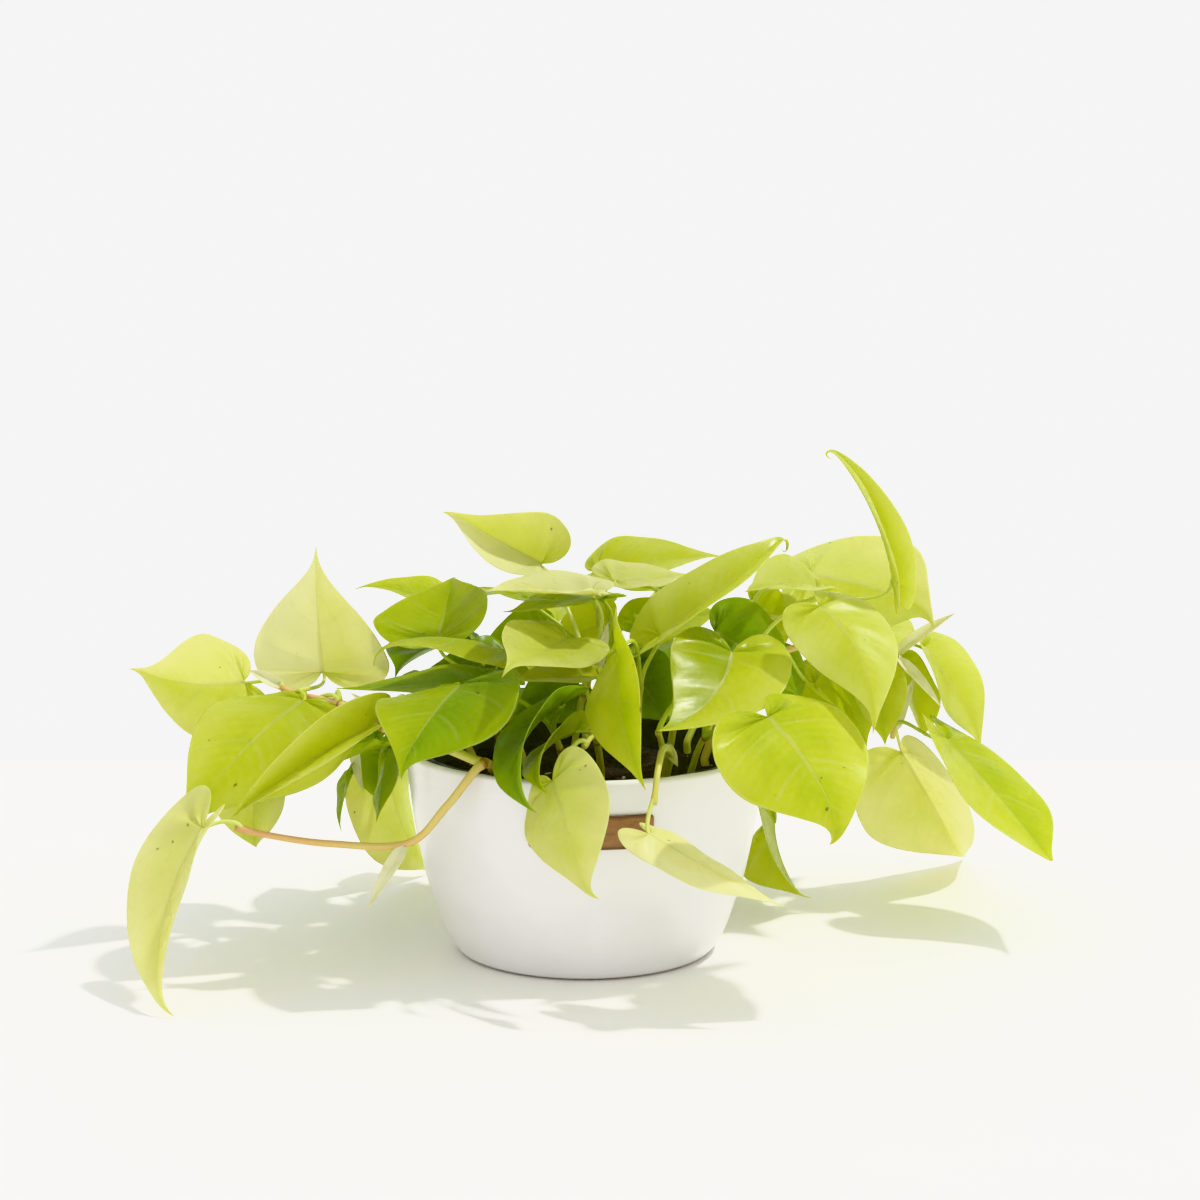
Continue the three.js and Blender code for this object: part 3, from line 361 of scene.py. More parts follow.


# The plant, vine by vine, in millimetres: its stems' radius, each stem's points, its leaves, its sheaths.
# The last leaf of vine_top and of vine_upper_right, and the last three of vine_back_top and of vine_right,
# are small inner ones that only the scene has.
# A leaf's "half" is painted shade: one half of its blade is drawn darker than the other.
PLANT = [
    vine("vine_left", 2.3, [
        [(-42, -52, 92), (-43, -56, 100), (-49, -78, 112), (-66, -80, 92), (-86, -76, 72), (-124, -72, 71),
         (-153, -72, 75), (-170, -72, 79)],
        [(-49, -78, 112), (-72, -62, 118), (-100, -38, 122), (-124, -14, 129), (-148, 4, 131),
         (-158, 20, 132)],
    ], [
        leaf(5, (-179, 31, 133), (-232, -11, 147), (-0.1, -0.9, 0.5), 62, stem=1, arch=-10, hook=-20,
             sweep=-30, twist=-25, fold=-15, half=0.04, tone=0.21, curl=60),
        leaf(4, (-139, 43, 136), (-141, 40, 204), (-0.25, -0.95, 0.2), 80, stem=1, arch=15, hook=10,
             twist=-45, fold=0, bend=0.5, rise=0.1, half=-0.06, tone=0.05),
        leaf(4, (-143, -13, 131), (-196, -61, 70), (-0.35, -0.7, 0.6), 84, stem=1, arch=40, hook=50,
             sweep=-5, twist=-35, fold=-15, tone=0.42),
        leaf(2, (-107, -41, 122), (-175, -58, 79), (0.05, -0.85, 0.55), 46, stem=1, arch=50, hook=40,
             sweep=-5, twist=-15, fold=65, tone=0.34),
        leaf(3, (-171, 21, 82), (-173, 24, 45), (-0.15, -0.95, 0.2), 48, stem=1, arch=50, hook=35, sweep=10,
             fold=35, tone=0.25),
        leaf(2, (-108, 4, 108), (-178, -14, 76), (-0.1, -0.3, 0.95), 44, stem=1, tone=0.7),
        leaf(7, (-185, -77, 80), (-192, -127, 1), (-0.75, -0.65, 0.1), 58, arch=20, hook=40, sweep=50,
             twist=-10, fold=20, tone=0.12, tail=30, size=1),
        leaf(3, (-150, 54, 108), (-192, 90, 76), (-0.5, 0.4, 0.75), 50, stem=1),
    ], [
        sheath(4, (-104, -94, 44), (-0.2, -0.9, 0.3), 9),
        sheath(5, (-176, 26, 140), (-0.2, -0.8, 0.6), 8, stem=1),
        sheath(2, (-118, -22, 137), (0.2, -0.7, 0.6), 7, stem=1),
    ]),
    vine("vine_left_inner", 1.9, [
        [(-58, 12, 92), (-60, 14, 100), (-72, 20, 116), (-92, 26, 118), (-110, 34, 107), (-122, 38, 94)],
    ], [
        leaf(4, (-107, 61, 89), (-114, 74, 60), (-0.4, -0.9, 0.1), 36, arch=25, sweep=5, fold=65,
             tone=0.66),
        leaf(5, (-124, 40, 83), (-129, 31, 52), (-0.95, -0.15, 0.15), 24, arch=20, sweep=10, twist=-15,
             tone=0.66),
        leaf(3, (-104, 22, 99), (-111, 37, 56), (0.85, -0.4, 0.25), 34, arch=10, hook=0, sweep=20, twist=10,
             tone=0.68),
        leaf(3, (-112, 82, 90), (-119, 88, 58), (0.2, -0.9, 0.4), 34, tone=0.1),
    ], [
        sheath(5, (-117, 30, 74), (-0.5, -0.8, 0), 8),
    ]),
    vine("vine_back_left", 2, [
        [(-45, 46, 92), (-46, 50, 100), (-54, 64, 116), (-72, 84, 112), (-96, 106, 92), (-112, 116, 76)],
    ], [
        leaf(5, (-111, 120, 64), (-91, 146, 1), (0.15, -0.55, 0.85), 70, arch=0, hook=20, sweep=50,
             twist=-10, fold=-15, tone=0.28, size=1, half=0.07),
        leaf(2, (-76, 58, 148), (-106, 102, 122), (-0.4, 0.6, 0.7), 50, tone=0.9),
        leaf(4, (-107, 84, 109), (-142, 124, 76), (-0.5, 0.5, 0.7), 50, tone=0.55),
        leaf(3, (-42, 90, 136), (-50, 140, 100), (-0.1, 0.7, 0.7), 54),
        leaf(1, (-62, 22, 130), (-98, 42, 134), (-0.3, 0.3, 0.9), 44, tone=0.75),
    ]),
    vine("vine_mid_left", 2, [
        [(-30, -16, 92), (-31, -14, 100), (-38, -8, 118), (-52, 0, 134)],
    ], [
        leaf(3, (-76, 8, 157), (-69, 50, 186), (-0.3, -0.75, 0.6), 70, arch=-10, hook=50, twist=-10,
             fold=25, tone=0.6),
        leaf(3, (-75, 66, 168), (-124, 66, 177), (0, -0.2, 1), 40),
        leaf(2, (-40, 16, 142), (-80, 4, 145), (-0.1, -0.5, 0.85), 40, tone=0.85),
        leaf(2, (-37, -22, 156), (-105, -44, 154), (0.05, -0.1, 1), 46, arch=45, hook=80, sweep=15,
             twist=10, fold=-15, tone=0.52),
        leaf(1.6, (-47, -21, 142), (-125, -34, 141), (0, -0.15, 1), 44, arch=5, hook=-10, sweep=-5, fold=5,
             tone=0.72),
    ], [
        sheath(3, (-44, -16, 150), (0.3, -0.8, 0.4), 7),
    ]),
    vine("vine_front_left", 2, [
        [(-10, -42, 92), (-10, -43, 98), (-12, -46, 112), (-16, -50, 124)],
    ], [
        leaf(2, (-60, -70, 149), (-86, -113, 111), (-0.5, -0.45, 0.75), 78, hook=35, sweep=-10, twist=-45,
             fold=-5, half=0.07, tone=0.68),
        leaf(3, (-12, -70, 139), (-22, -118, 96), (-0.85, -0.45, 0.25), 52, arch=70, hook=50, sweep=45,
             twist=5, fold=15, tone=0.82),
    ]),
    vine("vine_top", 2, [
        [(-6, 2, 92), (-6, 3, 100), (-3, 2, 122), (2, 0, 140)],
    ], [
        leaf(3, (-23, 23, 196), (-74, 17, 224), (-0.2, -0.7, 0.65), 56, arch=-10, hook=55, twist=-45,
             fold=50, half=-0.1, tone=0.12),
        leaf(2.5, (4, -30, 188), (-49, -56, 193), (0, -0.1, 1), 56, arch=-10, hook=10, sweep=45, twist=5,
             tone=0.05),
        leaf(2, (9, -11, 183), (-41, -37, 180), (0, 0.15, 1), 44, arch=15, hook=-20, sweep=15, twist=-20,
             fold=5, tone=0.65),
        leaf(1.6, (-4, 26, 132), (-40, 30, 113), (0, -0.85, 0.5), 38, tone=0.85),
    ], [
        sheath(3, (12, -10, 172), (0.4, -0.8, 0.2), 9),
    ]),
    vine("vine_front", 2, [
        [(8, -28, 92), (8, -30, 100), (6, -44, 116), (4, -60, 122), (0, -76, 120)],
    ], [
        leaf(2, (-9, -41, 167), (-39, -104, 158), (0.05, -0.55, 0.85), 52, arch=-10, hook=70, twist=-5,
             fold=5, tone=0.3),
        leaf(3, (-4, -62, 125), (-16, -111, 103), (-0.7, -0.7, 0.1), 34, arch=65, hook=65, sweep=40,
             tone=0.6),
        leaf(4, (-15, -104, 109), (8, -141, 60), (-0.4, -0.9, -0.1), 52, arch=10, hook=70, sweep=-10,
             twist=-25, fold=-10, tone=0.22, tail=35, size=0.973),
        leaf(2, (7, -30, 146), (-38, -46, 148), (0, -0.05, 1), 44, arch=10, hook=-20, twist=-15, tone=0.42),
    ]),
    vine("vine_centre", 2, [
        [(26, -8, 92), (26, -9, 100), (27, -14, 122), (28, -20, 140)],
    ], [
        leaf(3, (38, -25, 166), (101, 1, 207), (-0.55, -0.5, 0.65), 40, hook=50, sweep=50, twist=15,
             fold=30, tone=0.36, curl=220),
        leaf(3, (16, -69, 166), (29, -124, 108), (-0.9, -0.45, -0.15), 52, arch=25, hook=5, sweep=-10,
             twist=-45, half=0.04),
        leaf(2, (30, 24, 160), (74, 44, 166), (0.1, -0.3, 0.95), 48, tone=0.58),
    ]),
    vine("vine_front_right", 2, [
        [(40, -42, 92), (40, -44, 98), (38, -52, 116), (36, -60, 124)],
        [(40, -43, 96), (42, -56, 112), (38, -78, 119), (35, -98, 112), (33, -105, 98)],
    ], [
        leaf(3, (73, -39, 160), (34, -100, 132), (0, -0.75, 0.65), 62, arch=0, hook=-20, sweep=-50, twist=5,
             half=-0.07),
        leaf(4, (31, -111, 85), (94, -140, 57), (0.05, -0.25, 0.95), 32, stem=1, arch=10, hook=-5, sweep=25,
             twist=10, fold=-15, tone=0),
    ], [
        sheath(2, (46, -58, 106), (0.4, -0.8, 0.2), 8),
    ]),
    vine("vine_back_top", 2, [
        [(16, 40, 92), (16, 41, 100), (14, 42, 126), (14, 42, 146)],
    ], [
        leaf(3, (6, 61, 187), (75, 59, 195), (0, -0.4, 0.9), 50, arch=35, hook=15, sweep=35, twist=-5,
             fold=10, tone=0.4),
        leaf(2, (14, 11, 189), (55, 28, 190), (0, -0.25, 0.95), 40, arch=-10, hook=10, sweep=-5, twist=5,
             fold=10, tone=0.2),
        leaf(3, (38, 84, 174), (64, 132, 162), (0.2, 0.5, 0.85), 54),
        leaf(2, (-30, 52, 174), (-64, 94, 164), (-0.3, 0.4, 0.85), 54, tone=0.55),
        leaf(2.4, (-22, 48, 156), (-58, 56, 145), (0, -0.8, 0.6), 32, tone=0.7),
        leaf(2.6, (12, 54, 160), (-22, 62, 146), (0, -0.8, 0.6), 36, tone=0.45),
        leaf(1.8, (24, 34, 138), (44, 38, 108), (0.1, -0.9, 0.4), 40, tone=0.85),
    ]),
    vine("vine_mid_right", 2, [
        [(54, -22, 92), (54, -24, 98), (60, -34, 116), (72, -48, 124)],
    ], [
        leaf(2, (87, -100, 139), (115, -123, 82), (0.65, -0.55, 0.5), 98, arch=25, hook=90, sweep=-15,
             twist=35, fold=-5, bend=0.1, rise=0, tone=0.47),
        leaf(2, (116, -45, 184), (138, -91, 128), (0.25, -0.8, 0.5), 50, sweep=-40, twist=45, fold=-15,
             rise=0.1, bend=0.55, tone=0.32),
        leaf(2, (66, -5, 165), (109, -15, 132), (-0.1, -0.6, 0.75), 50, tone=0.78),
    ]),
    vine("vine_upper_right", 2, [
        [(44, 18, 92), (44, 18, 100), (50, 14, 130), (62, 8, 156), (84, 6, 170), (106, 6, 170)],
    ], [
        leaf(4, (120, 63, 185), (181, 15, 163), (0, -0.45, 0.9), 90, arch=-10, hook=70, sweep=-50, twist=45,
             fold=-5, half=-0.05, tone=0.28),
        leaf(5, (120, 20, 183), (81, 4, 184), (0, -0.15, 1), 56, arch=40, hook=0, sweep=15, twist=-15,
             fold=15, tone=0.3),
        leaf(5, (154, -23, 193), (123, -3, 257), (0.45, -0.9, 0.15), 30, arch=70, hook=70, twist=15,
             fold=65, tone=0.3, curl=100, tail=60, size=0.935),
        leaf(4, (88, 42, 173), (114, 48, 156), (0, -0.8, 0.6), 28),
    ], [
        sheath(4, (96, -4, 158), (0.3, -0.8, 0.4), 8),
    ]),
    vine("vine_right", 2.2, [
        [(62, 8, 92), (63, 10, 100), (76, 22, 128), (104, 46, 146), (140, 68, 148), (168, 82, 138),
         (172, 96, 108), (170, 106, 88)],
    ], [
        leaf(5, (186, 100, 140), (218, 97, 82), (0.9, -0.25, 0.35), 62, arch=20, hook=20, sweep=15,
             twist=45, tone=0.36),
        leaf(5, (174, 101, 129), (192, 127, 84), (-0.6, -0.6, 0.5), 40, arch=10, hook=40, sweep=-35,
             twist=5, fold=-15, tone=0.45),
        leaf(7, (194, 61, 96), (240, -23, 47), (0.75, -0.45, 0.5), 74, arch=-5, hook=-15, sweep=-45,
             twist=45, fold=5, size=0.952, half=0.045, tone=0.475, tail=-40),
        leaf(7, (178, 129, 75), (223, 182, 1), (-0.4, -0.9, 0.25), 86, arch=15, hook=35, sweep=-10,
             twist=10, fold=45, half=-0.06, tone=0.08, size=0.994),
        leaf(4, (146, 104, 152), (184, 150, 124), (0.4, 0.5, 0.75), 54, tone=0.3),
        leaf(3, (122, 58, 126), (150, 66, 82), (0.6, -0.2, 0.8), 44),
        leaf(3, (100, 60, 140), (116, 62, 112), (0.1, -0.95, 0.3), 28, tone=0.75),
        leaf(4, (134, 88, 132), (154, 86, 86), (0.1, -0.95, 0.3), 50),
        leaf(4, (158, 74, 128), (162, 70, 90), (0, -1, 0.2), 30, tone=0.45),
    ], [
        sheath(5, (198, 62, 165), (0, -0.8, 0.6), 9),
        sheath(5, (192, 66, 112), (0.4, -0.9, 0.2), 8),
        sheath(7, (180, 84, 128), (-0.2, -0.9, 0.2), 9),
    ]),
    vine("vine_back_right", 2, [
        [(54, 46, 92), (55, 48, 100), (66, 62, 114), (84, 80, 104), (96, 90, 78), (100, 94, 60)],
    ], [
        leaf(5, (104, 97, 43), (122, 61, 8), (-0.65, -0.65, -0.4), 68, arch=45, hook=55, sweep=-25,
             twist=20, fold=25, tone=0.42),
        leaf(2, (78, 76, 148), (108, 120, 126), (0.3, 0.6, 0.75), 54),
        leaf(4, (110, 100, 116), (142, 140, 80), (0.5, 0.5, 0.7), 52, tone=0.45),
        leaf(3, (62, 106, 108), (68, 148, 56), (0.1, 0.8, 0.5), 50, tone=0.65),
    ]),
    vine("vine_back", 2, [
        [(0, 62, 92), (0, 64, 100), (2, 76, 116), (4, 98, 112), (6, 112, 90), (8, 118, 70)],
    ], [
        leaf(2, (-8, 84, 166), (-18, 140, 144), (0, 0.6, 0.8), 54, tone=0.45),
        leaf(3, (22, 100, 140), (32, 152, 98), (0.1, 0.75, 0.65), 56, tone=0.75),
        leaf(4, (-20, 106, 108), (-36, 148, 56), (-0.1, 0.85, 0.5), 50, tone=0.8),
        leaf(5, (24, 126, 68), (42, 174, 16), (0.2, 0.7, 0.7), 50, tone=0.35),
        leaf(5, (-8, 124, 54), (-26, 170, 8), (-0.2, 0.6, 0.75), 46, tone=0.6),
    ]),
]


# Curves and small maths.
def unit(v):
    v = np.asarray(v, float)
    return v / np.linalg.norm(v)


def smooth_through(points, per_span):
    """A smooth curve through points, whose ends carry straight on."""
    p = np.asarray(points, float)
    p = np.vstack([[2 * p[0] - p[1]], p, [2 * p[-1] - p[-2]]])
    t = np.linspace(0, len(points) - 1, (len(points) - 1) * per_span + 1)
    i = np.clip(t.astype(int), 0, len(points) - 2)
    f = (t - i)[:, None]
    a, b, c, d = p[i], p[i + 1], p[i + 2], p[i + 3]
    return 0.5 * (
        2 * b + (c - a) * f + (2 * a - 5 * b + 4 * c - d) * f**2 + (3 * b - a - 3 * c + d) * f**3
    )


def bezier(a, b, c, d, steps):
    t = np.linspace(0, 1, steps + 1)[:, None]
    return (1 - t) ** 3 * a + 3 * (1 - t) ** 2 * t * b + 3 * (1 - t) * t**2 * c + t**3 * d


def frame_of(chord, facing):
    """Columns: along the chord, sideways, and the direction most nearly "facing" across it."""
    along = unit(chord)
    facing = np.asarray(facing, float)
    up = unit(facing - along * (facing @ along))
    return np.stack([along, np.cross(up, along), up], 1)


# Meshes.
def add_object(name, data):
    made = bpy.data.objects.new(name, data)
    bpy.context.scene.collection.objects.link(made)
    return made


def new_object(name, vertices, faces, materials):
    mesh = bpy.data.meshes.new(name)
    mesh.from_pydata([tuple(map(float, v)) for v in vertices], [], faces)
    mesh.validate()
    for each in materials:
        mesh.materials.append(each)
    mesh.polygons.foreach_set("use_smooth", [True] * len(mesh.polygons))
    return add_object(name, mesh)


class Shape:
    """Vertices and faces gathered from several parts, with a place and a tone for each vertex."""

    def __init__(self):
        self.vertices = []
        self.faces = []
        self.places = []
        self.tones = []

    def add(self, vertices, faces, places, tones):
        start = len(self.vertices)
        self.vertices += [tuple(v) for v in vertices]
        self.faces += [tuple(start + k for k in face) for face in faces]
        self.places += [tuple(p) for p in places]
        self.tones += list(tones)

    def piece(self, name, materials):
        made = new_object(name, self.vertices, self.faces, materials)
        mesh = made.data
        corners = np.zeros(len(mesh.loops), np.int32)
        mesh.loops.foreach_get("vertex_index", corners)
        place = mesh.attributes.new("place", "FLOAT_VECTOR", "CORNER")
        place.data.foreach_set("vector", np.array(self.places, np.float32)[corners].ravel())
        tone = mesh.attributes.new("tone", "FLOAT", "CORNER")
        tone.data.foreach_set("value", np.array(self.tones, np.float32)[corners])
        return made


def turned(profile, facets):
    """Vertices and faces of a profile of (radius, height) turned round the axis, closed at radius 0."""
    vertices = []
    rings = []
    for radius, height in profile:
        if radius < ON_AXIS:
            rings.append([len(vertices)] * facets)
            vertices.append((0.0, 0.0, height))
            continue
        rings.append(list(range(len(vertices), len(vertices) + facets)))
        for k in range(facets):
            turn = 2 * math.pi * k / facets
            vertices.append((radius * math.cos(turn), radius * math.sin(turn), height))
    faces = []
    for lower, upper in zip(rings, rings[1:]):
        for k in range(facets):
            corners = [lower[k], lower[(k + 1) % facets], upper[(k + 1) % facets], upper[k]]
            corners = list(dict.fromkeys(corners))
            if len(corners) > 2:
                faces.append(tuple(corners))
    return vertices, faces


def tube(points, radii, sides, kind=0.0):
    """Vertices and faces of a closed tube, and for each vertex its length along, share round, and kind."""
    points = np.asarray(points, float)
    tangents = np.gradient(points, axis=0)
    tangents /= np.linalg.norm(tangents, axis=1)[:, None]
    across = np.cross(tangents[0], (0, 0, 1) if abs(tangents[0][2]) < UPRIGHT else (1, 0, 0))
    vertices = []
    places = []
    lengths = np.concatenate([[0], np.cumsum(np.linalg.norm(np.diff(points, axis=0), axis=1))])
    kinds = np.broadcast_to(kind, len(points))
    for point, tangent, radius, reached, own_kind in zip(points, tangents, radii, lengths, kinds):
        across = unit(across - tangent * (across @ tangent))
        other = np.cross(tangent, across)
        for k in range(sides):
            turn = 2 * math.pi * k / sides
            vertices.append(point + radius * (math.cos(turn) * across + math.sin(turn) * other))
            places.append((reached, k / sides, own_kind))
    faces = []
    for i in range(len(points) - 1):
        for k in range(sides):
            a = i * sides + k
            b = i * sides + (k + 1) % sides
            faces.append((a, b, b + sides, a + sides))
    last = (len(points) - 1) * sides
    faces.append(tuple(reversed(range(sides))))
    faces.append(tuple(range(last, last + sides)))
    return vertices, faces, places


# Leaves.
def midrib(blade):
    """Places and directions along a midrib of unit length."""
    s = np.linspace(MIDRIB_START, 1, MIDRIB_STEPS + 1)
    bends = ("arch", "hook", "sweep", "twist", "curl", "tail")
    arch, hook, sweep, twist, curl, tail = (math.radians(blade[each]) for each in bends)
    far = np.clip((s - HOOK_START) / (1 - HOOK_START), 0, 1)
    last = np.clip((s - CURL_START) / (1 - CURL_START), 0, 1)
    pitch = arch * (0.5 - s) - hook * far**2 - curl * last**CURL_GROWTH
    yaw = sweep * (s - 0.5) + tail * last**CURL_GROWTH
    turn = twist * s
    along = np.stack([np.cos(pitch) * np.cos(yaw), np.cos(pitch) * np.sin(yaw), np.sin(pitch)], 1)
    flat = np.stack([-np.sin(yaw), np.cos(yaw), np.zeros_like(yaw)], 1)
    over = np.cross(along, flat)
    side = flat * np.cos(turn)[:, None] + over * np.sin(turn)[:, None]
    up = over * np.cos(turn)[:, None] - flat * np.sin(turn)[:, None]
    step = s[1] - s[0]
    places = np.zeros_like(along)
    places[1:] = np.cumsum((along[1:] + along[:-1]) / 2 * step, axis=0)
    places -= places[round(-MIDRIB_START / step)]
    return s, places, side, up


def blade_shaper(blade):
    """A function that puts points of the flat leaf where they are on the plant, with their normals."""
    s, places, side, up = midrib(blade)
    base = blade["base"]
    chord = blade["tip"] - base
    scale = np.linalg.norm(chord) / np.linalg.norm(places[-1])
    turn = frame_of(chord, blade["face"]) @ frame_of(places[-1], (0, 0, 1)).T

    def at(values, x):
        return np.stack([np.interp(x, s, values[:, k]) for k in range(3)], -1)

    def shape(x, y):
        out = np.abs(y)
        hand = np.sign(y)
        lift = math.radians(blade["fold"]) * out / (out + FOLD_SOFTNESS)
        reach = out * blade["width"] / 2
        ripple = blade["wave"] * out**2 * np.sin(2 * np.pi * x * RIPPLES + hand * RIPPLE_LAG)
        sideways = (hand * reach * np.cos(lift))[..., None]
        upwards = (reach * np.sin(lift) + ripple)[..., None]
        place = at(places, x) * scale + at(side, x) * sideways + at(up, x) * upwards
        normal = at(up, x) * np.cos(lift)[..., None] - at(side, x) * (hand * np.sin(lift))[..., None]
        return base + blade["size"] * place @ turn.T, normal @ turn.T

    return shape


def blade_grid(outline, columns):
    """One half of a blade: along and sideways for each row and column, and the share of both. Each row
    lies along a side vein, which leaves the midrib sideways and then curves forward."""
    edge = smooth_through(outline, ROWS_PER_POINT)
    edge[:, 1] = np.clip(edge[:, 1], 0, 1)
    vein = np.interp(
        np.linspace(0, len(outline) - 1, len(edge)), range(len(outline)), [p[2] for p in outline]
    )
    share, rows = np.meshgrid(columns, np.linspace(0, 1, len(edge)))
    leaving = 2 * share * (1 - share)
    x = vein[:, None] + (edge[:, :1] - vein[:, None]) * (share**2 + VEIN_FORWARD * leaving)
    y = edge[:, 1:2] * (share**2 + VEIN_SIDEWAYS * leaving)
    return x, y, rows, share


def vein_relief(rows, share):
    """How deep a point lies in the grooves of the side veins, and how far the blade swells between them."""
    phase = rows * SIDE_VEINS
    near = np.abs(phase - np.round(phase)) / SIDE_VEINS
    fade = np.sin(np.pi * share) ** RELIEF_FADE
    groove = VEIN_DEPTH * fade * np.exp(-((near / VEIN_WIDTH) ** 2))
    swell = fade * (0.5 - 0.5 * np.cos(2 * np.pi * phase))
    return groove, swell


def add_blade(shape, blade, outline, columns, veins=True):
    """Both halves of a blade, each with an upper and a lower skin that are closed along the margin. The
    third number of a place tells the half, and is smaller on the underside."""
    place = blade_shaper(blade)
    x, y, rows, share = blade_grid(outline, columns)
    thick = BLADE_THICKNESS + (EDGE_THICKNESS - BLADE_THICKNESS) * share
    groove, swell = vein_relief(rows, share)
    half_width = y[:, -1:] * blade["width"] / 2
    room = np.clip(half_width / FULL_RELIEF, 0, 1) * math.cos(math.radians(blade["fold"]))
    groove *= room
    swell *= room * (VEIN_SWELL + LOBE_SWELL * np.exp(-((x / LOBE_REACH) ** 2)))
    rib = np.exp(-((y / RIB_WIDTH) ** 2)) * np.clip(1 - x, 0, 1)
    groove += RIB_GROOVE * rib
    if not veins:
        groove = swell = rib = np.zeros_like(share)
    count, wide = x.shape
    for hand in (1, -1):
        middle, normal = place(x, hand * np.maximum(y, OFF_MIDRIB))
        upper = middle + normal * (thick / 2 - groove + swell)[..., None]
        lower = middle - normal * (thick / 2 + groove - swell + RIB_HEIGHT * rib)[..., None]
        index = np.arange(count * wide).reshape(count, wide)
        faces = []
        for i in range(count - 1):
            for j in range(wide - 1):
                top = (index[i, j], index[i + 1, j], index[i + 1, j + 1], index[i, j + 1])
                top = top if hand > 0 else top[::-1]
                low = tuple(k + count * wide for k in reversed(top))
                faces += [top, low]
            a = index[i, -1]
            b = index[i + 1, -1]
            rim = (b, a, a + count * wide, b + count * wide)
            faces.append(rim if hand < 0 else tuple(reversed(rim)))
        vertices = np.concatenate([upper.reshape(-1, 3), lower.reshape(-1, 3)])
        local = np.stack([rows, share, np.full_like(share, hand)], -1).reshape(-1, 3)
        below = local * (1, 1, UNDERSIDE_MARK)
        places = np.concatenate([local, below])
        # The tone carries painted shade as well as age: by its "half", one half of the blade is drawn
        # darker than the other.
        shape.add(vertices, faces, places, [blade["tone"] + hand * blade["half"]] * len(vertices))


def join_up(piece):
    """Merges the piece's doubled corners, so that both halves of each blade are one closed skin."""
    work = bmesh.new()
    work.from_mesh(piece.data)
    bmesh.ops.remove_doubles(work, verts=work.verts, dist=SAME_CORNER)
    bmesh.ops.dissolve_degenerate(work, edges=work.edges, dist=SAME_CORNER / 2)
    work.to_mesh(piece.data)
    work.free()


# Stems, petioles and sheaths.
def on_stem(vine_row, row):
    """The place on its stem where a leaf's petiole or a sheath starts."""
    stem = vine_row["stems"][row["stem"]]
    curve = smooth_through(stem, NODE_STEPS)
    share = min(LAST_NODE, row["at"] / (len(stem) - 1))
    index = share * (len(curve) - 1)
    return np.array([np.interp(index, range(len(curve)), curve[:, k]) for k in range(3)])


def petiole_points(blade, start):
    """A petiole rises from its stem and comes into the blade's base from below and behind."""
    base = blade["base"]
    chord = blade["tip"] - base
    turn = frame_of(chord, blade["face"])
    reach = np.linalg.norm(base - start)
    leave = start + (base - start) * PETIOLE_LEAN + np.array([0, 0, blade["rise"] * reach])
    arrive = base - turn @ unit(PETIOLE_HEADING) * blade["bend"] * reach
    return bezier(start, leave, arrive, base + unit(chord) * PETIOLE_INTO_BLADE, PETIOLE_STEPS)


def add_stem(shape, stem, radius, nodes, rooted, blush):
    """A tapering stem that swells at its nodes. A rooted one reaches down into the soil."""
    points = [tuple(p) for p in stem]
    if rooted:
        x, y, _ = points[0]
        points = [(x, y, SOIL_TOP - ROOT_DEPTH)] + points
    curve = smooth_through(points, STEM_STEPS)
    share = np.linspace(0, 1, len(curve))
    radii = radius * (1 - STEM_TAPER * np.clip(share - STEM_TAPER_START, 0, 1) ** STEM_TAPER_CURVE)
    scars = np.zeros(len(curve))
    swell = np.zeros(len(curve))
    for node in nodes:
        gap = np.linalg.norm(curve - node, axis=1)
        near = np.exp(-((gap / NODE_LENGTH) ** 2))
        swell = np.maximum(swell, near)
        if gap.argmin() < LAST_SCAR * len(curve):
            scars = np.maximum(scars, near)
    radii = radii * (1 + NODE_SWELL * swell)
    vertices, faces, places = tube(curve, radii, STEM_SIDES, np.interp(share, (0, 1), blush))
    shape.add(vertices, faces, places, np.repeat(scars, STEM_SIDES))


def add_petiole(shape, blade, start):
    curve = petiole_points(blade, start)
    share = np.linspace(0, 1, len(curve))
    collar = PETIOLE_COLLAR * np.exp(-share * PETIOLE_COLLAR_FADE)
    radii = PETIOLE_RADIUS * (PETIOLE_FOOT - PETIOLE_TAPER * share + collar)
    vertices, faces, places = tube(curve, radii, PETIOLE_SIDES, kind=PETIOLE_KIND)
    shape.add(vertices, faces, places, [blade["tone"]] * len(vertices))


def make_vine(row, leaf_finish, stem_finish, sheath_finish):
    starts = [on_stem(row, each) for each in row["leaves"]]
    stems = Shape()
    for number, stem in enumerate(row["stems"]):
        nodes = [p for p, each in zip(starts, row["leaves"]) if each["stem"] == number]
        nodes += [other[0] for other in row["stems"][1:]]
        add_stem(stems, stem, row["radius"], nodes, number == 0, BLUSH.get(row["name"], COMMON_BLUSH))
    for each, start in zip(row["leaves"], starts):
        add_petiole(stems, each, start)
    stem_piece = stems.piece(row["name"] + "_stems", [stem_finish])
    blades = Shape()
    for each in row["leaves"]:
        add_blade(blades, each, LEAF_OUTLINE, BLADE_COLUMNS)
    leaf_piece = blades.piece(row["name"] + "_leaves", [leaf_finish])
    join_up(leaf_piece)
    made = [stem_piece, leaf_piece]
    if row["sheaths"]:
        dry = Shape()
        for each in row["sheaths"]:
            blade = dict(each, base=on_stem(row, each))
            add_blade(dry, blade, SHEATH_OUTLINE, SHEATH_COLUMNS, veins=False)
        sheath_piece = dry.piece(row["name"] + "_sheaths", [sheath_finish])
        join_up(sheath_piece)
        made.append(sheath_piece)
    for piece in made:
        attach(piece, "root")
        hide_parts(row["name"])


# Pots, plate and soil.
def radius_at(profile, height):
    return np.interp(height, [z for _, z in profile], [r for r, _ in profile])


def pot_outside():
    """The pot's side from its foot to its rim, smoothed, with the shallow line below the rim."""
    side = smooth_through([(POT_BASE_RADIUS, 0.0)] + POT_SIDE, POT_SIDE_STEPS)
    sunk = POT_LINE_DEPTH * np.exp(-(((side[:, 1] - POT_LINE_HEIGHT) / POT_LINE_WIDTH) ** 2))
    side[:, 0] -= sunk
    return [tuple(p) for p in side]


